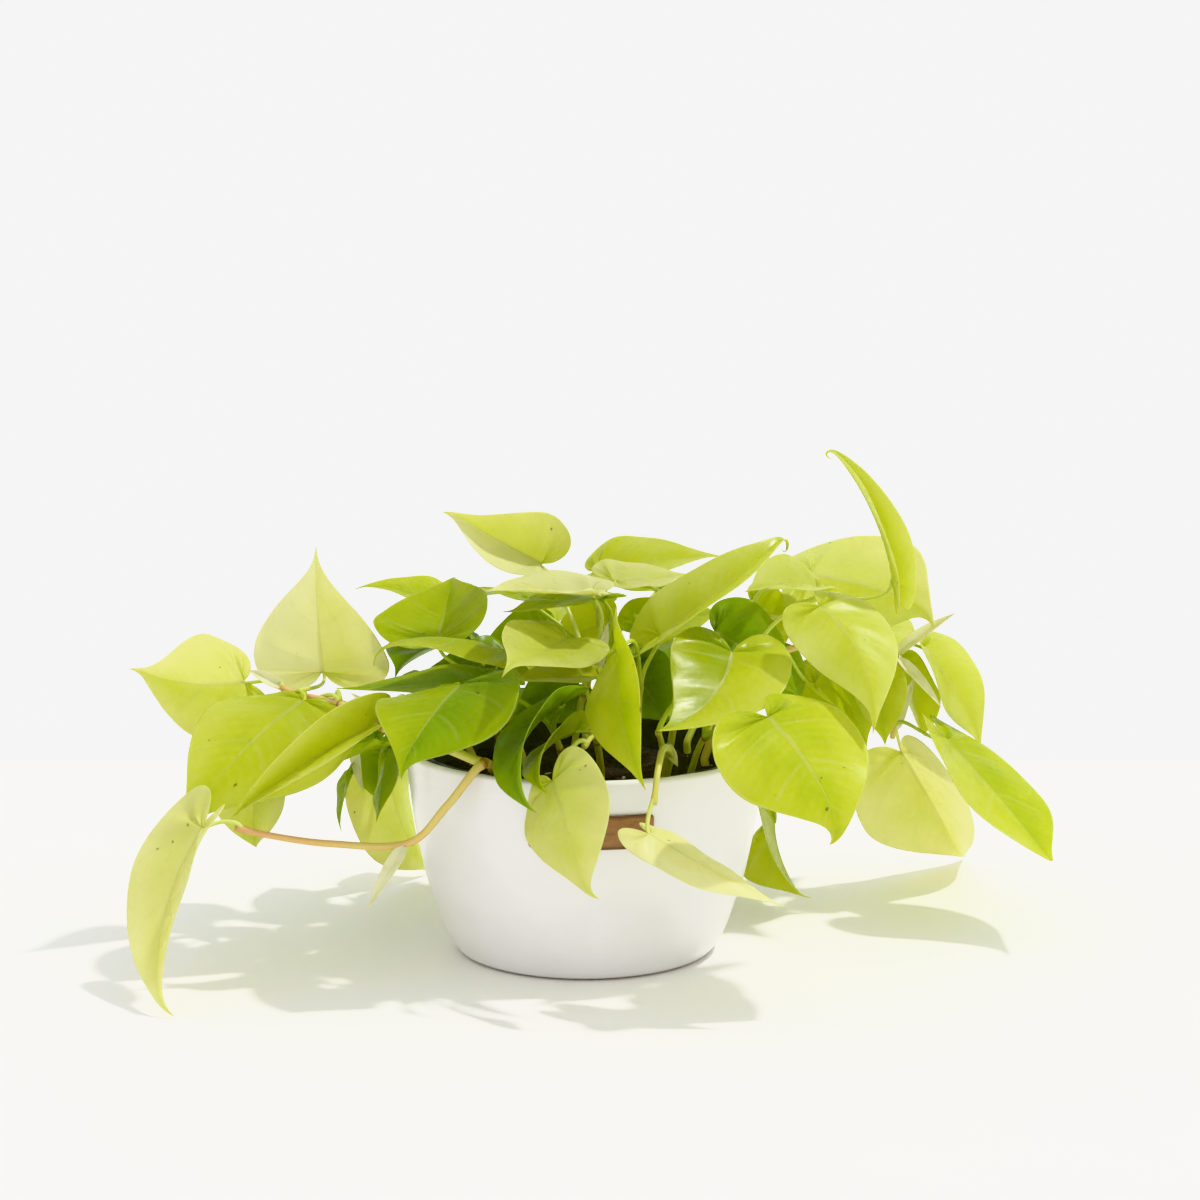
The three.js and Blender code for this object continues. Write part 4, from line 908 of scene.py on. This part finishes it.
def make_pot(finish):
    outside = pot_outside()
    rim_middle = POT_RIM_RADIUS - POT_WALL / 2
    rim = [
        (rim_middle + POT_WALL / 2 * math.cos(turn), POT_HEIGHT - POT_RIM_ROUND * (1 - math.sin(turn)))
        for turn in np.linspace(POT_RIM_START, math.pi - POT_RIM_START, POT_RIM_STEPS)
    ]
    lowest = POT_FLOOR + POT_FLOOR_ROUND
    highest = POT_HEIGHT - POT_RIM_DEPTH
    inside = [(radius - POT_WALL, z) for radius, z in outside if lowest < z < highest]
    floor_radius = radius_at(POT_SIDE, POT_FLOOR) - POT_WALL - POT_FLOOR_ROUND
    foot = [(0.0, FOOT_RECESS), (FOOT_RING, FOOT_RECESS), (FOOT_RING + FOOT_RECESS, 0.0)]
    profile = foot + outside + rim + inside[::-1] + [(floor_radius, POT_FLOOR), (0.0, POT_FLOOR)]
    pot = new_object("glazed_pot", *turned(profile, POT_FACETS), [finish])
    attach(pot, "root")
    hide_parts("pot")


def make_plate(finish):
    """A curved plate with round corners and a line along its edge, which follows the pot's side."""
    side = pot_outside()
    middle_radius = radius_at(side, PLATE_MIDDLE) + PLATE_GAP + PLATE_THICKNESS
    across, down = PLATE_FACES
    u, v = np.meshgrid(np.arange(across + 1) / across - 0.5, np.arange(down + 1) / down - 0.5)
    z = v * PLATE_HEIGHT
    inset = np.maximum(0, abs(z) - (PLATE_HEIGHT / 2 - PLATE_CORNER))
    trim = PLATE_CORNER - np.sqrt(np.maximum(0, PLATE_CORNER**2 - inset**2))
    x = u * (PLATE_WIDTH - 2 * trim)
    edge = np.minimum(PLATE_WIDTH / 2 - trim - abs(x), PLATE_HEIGHT / 2 - abs(z))
    line = np.exp(-(((edge - PLATE_LINE_INSET) / PLATE_LINE_WIDTH) ** 2))
    rounding = np.sqrt(np.minimum(1, edge / PLATE_EDGE_ROUND + PLATE_EDGE_START))
    share = PLATE_EDGE_SHARE + (1 - PLATE_EDGE_SHARE) * rounding
    depth = PLATE_THICKNESS * share - PLATE_LINE_DEPTH * line
    turn = (x + PLATE_ASIDE) / middle_radius
    back = radius_at(side, PLATE_MIDDLE + z) + PLATE_GAP
    vertices = []
    for radius in (back + depth, back):
        skin = np.stack([radius * np.sin(turn), -radius * np.cos(turn), PLATE_MIDDLE + z], -1)
        vertices += list(skin.reshape(-1, 3))
    wide = across + 1
    count = wide * (down + 1)
    faces = []
    for j in range(down):
        for i in range(across):
            a = j * wide + i
            front = (a, a + 1, a + 1 + wide, a + wide)
            faces += [front, tuple(k + count for k in reversed(front))]
    ring = list(range(across)) + [across + j * wide for j in range(down)]
    ring += [down * wide + across - i for i in range(across)] + [(down - j) * wide for j in range(down)]
    for a, b in zip(ring, ring[1:] + ring[:1]):
        faces.append((b, a, a + count, b + count))
    plate = new_object("label_plate", vertices, faces, [finish])
    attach(plate, "root")
    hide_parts("front_plate")


def drain_cutter():
    shape = Shape()
    for k in range(DRAIN_HOLES):
        turn = 2 * math.pi * k / DRAIN_HOLES
        centre = (DRAIN_CIRCLE * math.cos(turn), DRAIN_CIRCLE * math.sin(turn))
        ends = [(*centre, POT_FLOOR + reach) for reach in DRAIN_CUT]
        vertices, faces, places = tube(ends, [DRAIN_RADIUS] * 2, DRAIN_SIDES)
        shape.add(vertices, faces, places, [0.0] * len(vertices))
    return shape.piece("drain_cutter", [])


def apply_modifiers(piece):
    """Replaces the piece's mesh by what its modifiers make of it."""
    made = bpy.data.meshes.new_from_object(piece.evaluated_get(bpy.context.evaluated_depsgraph_get()))
    piece.modifiers.clear()
    piece.data = made


def make_nursery_pot(finish):
    foot = POT_FLOOR + GAP
    lip = NURSERY_TOP_RADIUS + NURSERY_LIP
    under = NURSERY_TOP - NURSERY_LIP_DEPTH
    inside = NURSERY_TOP_RADIUS - NURSERY_WALL
    lean = (NURSERY_TOP_RADIUS - NURSERY_FOOT_RADIUS) / (NURSERY_TOP - foot)
    profile = [
        (0.0, foot),
        (NURSERY_FOOT_RADIUS - NURSERY_FOOT_ROUND, foot),
        (NURSERY_FOOT_RADIUS, foot + NURSERY_FOOT_ROUND),
        (NURSERY_TOP_RADIUS - lean * NURSERY_LIP_DEPTH, under),
        (lip - NURSERY_EDGE_ROUND, under),
        (lip, under + NURSERY_EDGE_ROUND),
        (lip, NURSERY_TOP - NURSERY_LIP_ROUND),
        (lip - NURSERY_LIP_ROUND, NURSERY_TOP),
        (inside + NURSERY_EDGE_ROUND, NURSERY_TOP),
        (inside, NURSERY_TOP - NURSERY_EDGE_ROUND),
        (NURSERY_FOOT_RADIUS - NURSERY_WALL, foot + NURSERY_WALL),
        (0.0, foot + NURSERY_WALL),
    ]
    pot = new_object("black_pot", *turned(profile, NURSERY_FACETS), [finish])
    cutter = drain_cutter()
    cut = pot.modifiers.new("drain", "BOOLEAN")
    cut.operation = "DIFFERENCE"
    cut.solver = "EXACT"
    cut.object = cutter
    apply_modifiers(pot)
    bpy.data.objects.remove(cutter)
    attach(pot, "root")
    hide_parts("nursery_pot")


def soil_height(x, y):
    edge = math.hypot(x, y) / NURSERY_TOP_RADIUS
    broad = math.sin(x / LUMP_SIZE + 1) * math.cos(y / LUMP_SIZE)
    narrow = math.sin((x - 3 * y) / (2 * LUMP_SIZE))
    return SOIL_TOP + SOIL_RELIEF * (broad + narrow / 2 - edge * edge)


def make_soil(finish):
    inset, drop = SOIL_SHOULDER
    bottom = POT_FLOOR + NURSERY_WALL + 2 * GAP
    slope = (NURSERY_TOP_RADIUS - NURSERY_FOOT_RADIUS) / (NURSERY_TOP - POT_FLOOR - GAP)
    foot = NURSERY_FOOT_RADIUS - NURSERY_WALL - 2 * GAP
    radius = foot + slope * (SOIL_TOP - 3 * SOIL_RELIEF - bottom)
    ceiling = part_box("soil")[1].z
    profile = [(0.0, bottom), (foot, bottom), (radius - slope * inset, SOIL_TOP - drop)]
    profile += [(radius * (1 - k / SOIL_RINGS), SOIL_TOP) for k in range(SOIL_RINGS + 1)]
    vertices, faces = turned(profile, SOIL_FACETS)
    shaped = []
    for x, y, z in vertices:
        if z > SOIL_TOP - 1 * MM:
            grain = noise.fractal(Vector((x, y, 0)) / GRAIN_SIZE, *GRAIN_FRACTAL)
            z = min(ceiling, soil_height(x, y) + SOIL_GRAIN * grain)
        shaped.append((x, y, z))
    shape = Shape()
    shape.add(shaped, faces, shaped, [0.0] * len(shaped))
    add_crumbs(shape, radius, ceiling)
    soil = shape.piece("potting_soil", [finish])
    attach(soil, "root")
    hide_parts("soil")


def add_crumbs(shape, radius, ceiling):
    """Loose crumbs of soil and a few pale grains, each sunk a little into the soil."""
    draw = random.Random(CRUMB_SEED)
    ball = bmesh.new()
    bmesh.ops.create_icosphere(ball, subdivisions=2, radius=1.0)
    corners = [v.co.copy() for v in ball.verts]
    faces = [tuple(v.index for v in f.verts) for f in ball.faces]
    ball.free()
    for number in range(CRUMBS):
        size = draw.uniform(*CRUMB_SIZES)
        reach = (radius - 2 * size) * math.sqrt(draw.random())
        turn = draw.uniform(0, 2 * math.pi)
        x = reach * math.cos(turn)
        y = reach * math.sin(turn)
        centre = Vector((x, y, min(soil_height(x, y) - CRUMB_SUNK * size, ceiling - size)))
        stretch = Vector([draw.uniform(*span) for span in (CRUMB_WIDE, CRUMB_WIDE, CRUMB_HIGH)])
        vertices = []
        for corner in corners:
            lump = 1 + CRUMB_LUMPS * noise.noise(corner * CRUMB_LUMP_RATE + Vector((number, 0, 0)))
            vertices.append(tuple(centre + Vector(corner * stretch) * size * lump))
        pale = 1.0 if draw.random() < PALE_GRAINS else draw.uniform(*CRUMB_TONES)
        shape.add(vertices, faces, vertices, [pale] * len(vertices))


# Materials.
def paint(code):
    """A linear colour from its six-digit code."""
    parts = [int(code[k:k + 2], 16) / 255 for k in (0, 2, 4)]
    return tuple(p / 12.92 if p <= 0.04045 else ((p + 0.055) / 1.055) ** 2.4 for p in parts) + (1.0,)


# Places of the mix node's sockets for colours.
MIX_FIRST = 6
MIX_SECOND = 7
MIX_RESULT = 2


class Nodes:
    """The nodes of a material or of the world, added one at a time."""

    def __init__(self, owner):
        self.owner = owner
        owner.use_nodes = True
        self.tree = owner.node_tree
        self.tree.nodes.clear()

    def add(self, kind, inputs, **settings):
        """A node of this kind. Each input, by name or number, is another node's output, a colour code or a
        plain value."""
        node = self.tree.nodes.new("ShaderNode" + kind)
        for name, value in settings.items():
            setattr(node, name, value)
        for name, value in inputs.items():
            if isinstance(value, bpy.types.NodeSocket):
                self.tree.links.new(value, node.inputs[name])
            else:
                node.inputs[name].default_value = paint(value) if isinstance(value, str) else value
        return node.outputs

    def calculated(self, kind, *values):
        return self.add("Math", dict(enumerate(values)), operation=kind)[0]

    def times(self, first, second):
        return self.calculated("MULTIPLY", first, second)

    def plus(self, total, *others):
        for each in others:
            total = self.calculated("ADD", total, each)
        return total

    def centred(self, value):
        return self.calculated("SUBTRACT", value, 0.5)

    def spread(self, value, low, high, start=0.0, end=1.0):
        """The value's way from low to high, eased, as a number from start to end."""
        inputs = dict(enumerate((value, low, high, start, end)))
        return self.add("MapRange", inputs, interpolation_type="SMOOTHSTEP")[0]

    def near_lines(self, value, count, width):
        """One on each of "count" evenly spaced lines, falling to nothing at "width" of a step away."""
        away = self.calculated("PINGPONG", self.times(value, count), 0.5)
        return self.spread(away, width, 0.0)

    def parts(self, vector):
        return self.add("SeparateXYZ", {0: vector})

    def position(self, kind="Object"):
        return self.add("TexCoord", {})[kind]

    def tone(self):
        return self.add("Attribute", {}, attribute_name="tone")["Fac"]

    def place(self):
        """Where a point lies on its blade or stem, in three numbers."""
        return self.parts(self.add("Attribute", {}, attribute_name="place")["Vector"])

    def noise(self, size, detail=3.0, stretch=None):
        """Noise from 0 to 1 in lumps of about "size" metres."""
        vector = self.position()
        if stretch:
            vector = self.add("VectorMath", {0: vector, 1: stretch}, operation="MULTIPLY")[0]
        return self.add("TexNoise", {"Vector": vector, "Scale": 1 / size, "Detail": detail})["Fac"]

    def ramp(self, value, stops):
        node = self.tree.nodes.new("ShaderNodeValToRGB")
        self.tree.links.new(value, node.inputs[0])
        marks = node.color_ramp.elements
        while len(marks) < len(stops):
            marks.new(0.5)
        for mark, (place, code) in zip(marks, stops):
            mark.position = place
            mark.color = paint(code)
        return node.outputs["Color"]

    def blend(self, share, first, second):
        inputs = {0: share, MIX_FIRST: first, MIX_SECOND: second}
        return self.add("Mix", inputs, data_type="RGBA")[MIX_RESULT]

    def bump(self, height, strength, distance):
        return self.add("Bump", {"Strength": strength, "Distance": distance, "Height": height})["Normal"]

    def surface(self, colour, roughness, normal, glow=None, through=0.0, more=()):
        """The material itself. "glow" colours the light that comes through, in the share "through"."""
        inputs = {"Base Color": colour, "Roughness": roughness, "Normal": normal}
        inputs.update(more)
        shader = self.add("BsdfPrincipled", inputs)[0]
        if glow:
            thin = self.add("BsdfTranslucent", {"Color": glow})[0]
            shader = self.add("MixShader", {0: through, 1: shader, 2: thin})[0]
        self.add("OutputMaterial", {"Surface": shader})
        return self.owner


def new_finish(name):
    return Nodes(bpy.data.materials.new(name))


def leaf_finish():
    f = new_finish("leaf")
    row, across, hand = f.place()
    mottle = f.centred(f.noise(22 * MM, 2.0))
    speck = f.centred(f.noise(2.5 * MM))
    # Besides the leaf's age, the tone carries painted shade, which draws one half of a blade darker than
    # the other.
    age_and_shade = f.plus(f.tone(), f.times(mottle, MOTTLE), f.times(speck, SPECKLE))
    age_and_shade = f.plus(age_and_shade, f.spread(row, *BASE_SPAN, end=OLDER_BASE))
    age_and_shade = f.plus(age_and_shade, f.spread(across, *MIDDLE_SPAN, OLDER_MIDDLE, -OLDER_MIDDLE))
    green = f.ramp(age_and_shade, LEAF_COLOURS)
    inside = f.times(f.spread(across, *VEIN_FOOT_SPAN), f.spread(across, *VEIN_END_SPAN))
    veins = f.times(f.near_lines(row, SIDE_VEINS, VEIN_LINE), inside)
    fine = f.times(f.near_lines(row, SIDE_VEINS * FINE_VEINS, FINE_VEIN_LINE), inside)
    rib = f.spread(across, *RIB_SPAN)
    margin = f.spread(across, *MARGIN_SPAN)
    pale = f.blend(0.5, green, VEIN_COLOUR)
    coloured = f.blend(f.times(fine, FINE_VEINS_SHOW), green, pale)
    coloured = f.blend(f.times(veins, VEINS_SHOW), coloured, pale)
    lines = f.calculated("MAXIMUM", f.times(rib, RIB_SHOWS), f.times(margin, MARGIN_SHOWS))
    coloured = f.blend(lines, coloured, pale)
    under = f.spread(f.calculated("ABSOLUTE", hand), *UNDERSIDE_SPAN, end=UNDERSIDE_SHOWS)
    coloured = f.blend(under, coloured, f.blend(0.5, green, UNDERSIDE_COLOUR))
    tip = f.times(f.spread(row, *TIP_SPAN), TIP_SHOWS)
    coloured = f.blend(tip, coloured, TIP_COLOUR)
    blemish = f.spread(f.noise(5 * MM, 1.0), *BLEMISH_SPAN, end=BLEMISHES_SHOW)
    coloured = f.blend(blemish, coloured, BLEMISH_COLOUR)
    glow = f.ramp(age_and_shade, LEAF_GLOW)
    dark_lines = f.calculated("MAXIMUM", f.times(veins, 0.35), rib)
    glow = f.blend(f.times(dark_lines, DARK_LINES_SHOW), glow, GLOW_VEIN_COLOUR)
    glow = f.blend(blemish, glow, BLEMISH_COLOUR)
    height = f.plus(f.times(speck, 0.5), f.times(fine, -0.15))
    roughness = f.spread(f.noise(12 * MM, 2.0), *MOST_NOISE, *LEAF_ROUGHNESS)
    normal = f.bump(height, 0.3, 0.4 * MM)
    return f.surface(coloured, roughness, normal, glow, LEAF_THROUGH, {"Specular IOR Level": 0.4})


def stem_finish():
    """Stems by how pink they are, with brown scars at their nodes, and petioles by their leaf's age."""
    f = new_finish("stem")
    kind = f.place()[2]
    value = f.tone()
    streak = f.noise(20 * MM, 2.0)
    stem = f.ramp(f.plus(kind, f.times(f.centred(streak), STREAKS_SHOW)), STEM_COLOURS)
    ring = f.noise(1.2 * MM, 2.0)
    scar = f.spread(f.plus(value, f.times(ring, 0.5)), *SCAR_SPAN, end=SCARS_SHOW)
    stem = f.blend(scar, stem, SCAR_COLOUR)
    stalk = f.ramp(f.plus(value, f.times(streak, 0.2)), PETIOLE_COLOURS)
    coloured = f.blend(f.spread(kind, *STALK_SPAN), stem, stalk)
    speck = f.spread(f.noise(0.9 * MM), *STEM_SPECK_SPAN, end=STEM_SPECKS_SHOW)
    coloured = f.blend(speck, coloured, STEM_SPECK_COLOUR)
    glow = f.blend(0.3, coloured, GLOW_COLOUR)
    roughness = f.spread(streak, 0.2, 0.8, *STEM_ROUGHNESS)
    return f.surface(coloured, roughness, f.bump(ring, 0.4, 0.3 * MM), glow, STEM_THROUGH)


def sheath_finish():
    f = new_finish("dry sheath")
    row, across, _ = f.place()
    ribs = f.near_lines(across, SHEATH_RIBS, FINE_VEIN_LINE)
    patch = f.noise(6 * MM)
    coloured = f.ramp(f.plus(f.times(patch, 0.8), f.times(ribs, 0.12)), SHEATH_COLOURS)
    coloured = f.blend(f.spread(row, *SHEATH_TIP_SPAN, end=SHEATH_TIP_SHOWS), coloured, SHEATH_TIP_COLOUR)
    glow = f.blend(0.4, coloured, GLOW_COLOUR)
    roughness = f.spread(patch, *MOST_NOISE, *SHEATH_ROUGHNESS)
    return f.surface(coloured, roughness, f.bump(ribs, 0.35, 0.4 * MM), glow, SHEATH_THROUGH)


def glaze_finish():
    f = new_finish("white glaze")
    height = f.parts(f.position())["Z"]
    cloud = f.noise(30 * MM, 2.0)
    coloured = f.ramp(cloud, GLAZE_COLOURS)
    speck = f.spread(f.noise(1.6 * MM, 1.0), *GLAZE_SPECK_SPAN, end=GLAZE_SPECKS_SHOW)
    coloured = f.blend(speck, coloured, GLAZE_SPECK_COLOUR)
    bare = f.spread(f.plus(height, f.times(f.noise(4 * MM, 2.0), 1.2 * MM)), *BARE_CLAY)
    coloured = f.blend(f.times(bare, BARE_CLAY_SHOWS), coloured, BARE_CLAY_COLOUR)
    turning = f.calculated("SINE", f.times(height, 2 * math.pi / TURNING_LINES))
    relief = f.plus(f.times(turning, 0.3), f.times(f.noise(20 * MM, 1.0), 0.08))
    roughness = f.plus(f.spread(cloud, *MOST_NOISE, *GLAZE_ROUGHNESS), f.times(bare, 0.4))
    normal = f.bump(relief, 0.05, 0.5 * MM)
    return f.surface(coloured, roughness, normal, more={"Coat Weight": 0.3, "Coat Roughness": 0.1})


def plate_finish():
    f = new_finish("plate")
    height = f.parts(f.position())["Z"]
    grain = f.noise(3.5 * MM, 4.0, stretch=(0.35, 0.35, 1.6))
    fine = f.noise(0.7 * MM)
    coloured = f.ramp(f.plus(f.times(grain, 0.8), f.times(fine, 0.25)), PLATE_COLOURS)
    off_middle = f.calculated("ABSOLUTE", f.calculated("SUBTRACT", height, PLATE_MIDDLE))
    edge = f.spread(off_middle, *PLATE_EDGE_SPAN, end=PLATE_EDGE_SHOWS)
    coloured = f.blend(edge, coloured, PLATE_EDGE_COLOUR)
    roughness = f.spread(grain, *MOST_NOISE, *PLATE_ROUGHNESS)
    return f.surface(coloured, roughness, f.bump(fine, 0.35, 0.4 * MM))


def plastic_finish():
    f = new_finish("black plastic")
    dust = f.noise(12 * MM, 4.0)
    coloured = f.ramp(dust, PLASTIC_COLOURS)
    roughness = f.spread(dust, *MOST_NOISE, *PLASTIC_ROUGHNESS)
    return f.surface(coloured, roughness, f.bump(f.noise(0.9 * MM, 2.0), 0.2, 0.3 * MM))


def soil_finish():
    f = new_finish("potting soil")
    pale = f.tone()
    lump = f.noise(5 * MM, 5.0)
    coloured = f.ramp(f.plus(lump, f.times(pale, 0.35)), SOIL_COLOURS)
    coloured = f.blend(f.spread(pale, *PALE_GRAIN_SPAN), coloured, PALE_GRAIN_COLOUR)
    roughness = f.spread(lump, *MOST_NOISE, *SOIL_ROUGHNESS)
    return f.surface(coloured, roughness, f.bump(f.noise(1.2 * MM, 4.0), 0.7, 0.8 * MM))


def table_finish():
    f = new_finish("pale table")
    coloured = f.ramp(f.noise(120 * MM), TABLE_COLOURS)
    return f.surface(coloured, TABLE_ROUGHNESS, f.bump(f.noise(3 * MM, 2.0), 0.1, 0.4 * MM))


# The table, the pale room, the light and the camera.
def make_table():
    work = bmesh.new()
    bmesh.ops.create_cube(work, size=1.0)
    for corner in work.verts:
        corner.co.x *= 2 * TABLE_SIDE
        corner.co.y = TABLE_BACK if corner.co.y > 0 else TABLE_FRONT
        corner.co.z = -TABLE_THICKNESS if corner.co.z < 0 else -TABLE_GAP
    bmesh.ops.bevel(work, geom=work.edges[:], offset=TABLE_EDGE_ROUND, segments=TABLE_EDGE_STEPS,
                    affect="EDGES")
    mesh = bpy.data.meshes.new("table")
    work.to_mesh(mesh)
    work.free()
    mesh.materials.append(table_finish())
    table = add_object("table", mesh)


def make_room():
    """A pale room: brightest low down all round, and a little darker overhead."""
    room = Nodes(bpy.data.worlds.new("pale room"))
    height = room.parts(room.position("Generated"))["Z"]
    shade = room.ramp(room.spread(height, *CEILING_SPAN), ROOM_COLOURS)
    light = room.add("Background", {"Color": shade, "Strength": ROOM_STRENGTH})[0]
    room.add("OutputWorld", {"Surface": light})
    bpy.context.scene.world = room.owner


def make_light():
    lamp = bpy.data.lights.new("key", "SUN")
    lamp.angle = KEY_WIDTH
    lamp.energy = KEY_POWER
    lamp.color = paint(KEY_COLOUR)[:3]
    key = add_object("key", lamp)
    key.location = KEY_FROM
    key.rotation_euler = Vector(KEY_FROM).to_track_quat("Z", "Y").to_euler()


def make_camera():
    camera = add_object("camera", bpy.data.cameras.new("camera"))
    camera.data.lens = CAMERA_LENS
    camera.data.sensor_width = CAMERA_SENSOR
    camera.data.clip_start = CAMERA_NEAR
    camera.location = CAMERA_PLACE
    camera.rotation_euler = (math.pi / 2 - CAMERA_DOWN, 0.0, 0.0)
    bpy.context.scene.camera = camera


make_camera()
make_light()
make_room()
make_table()
bpy.context.scene.view_settings.view_transform = "Khronos PBR Neutral"

make_pot(glaze_finish())
make_plate(plate_finish())
make_nursery_pot(plastic_finish())
make_soil(soil_finish())
finishes = leaf_finish(), stem_finish(), sheath_finish()
for plant in PLANT:
    make_vine(plant, *finishes)
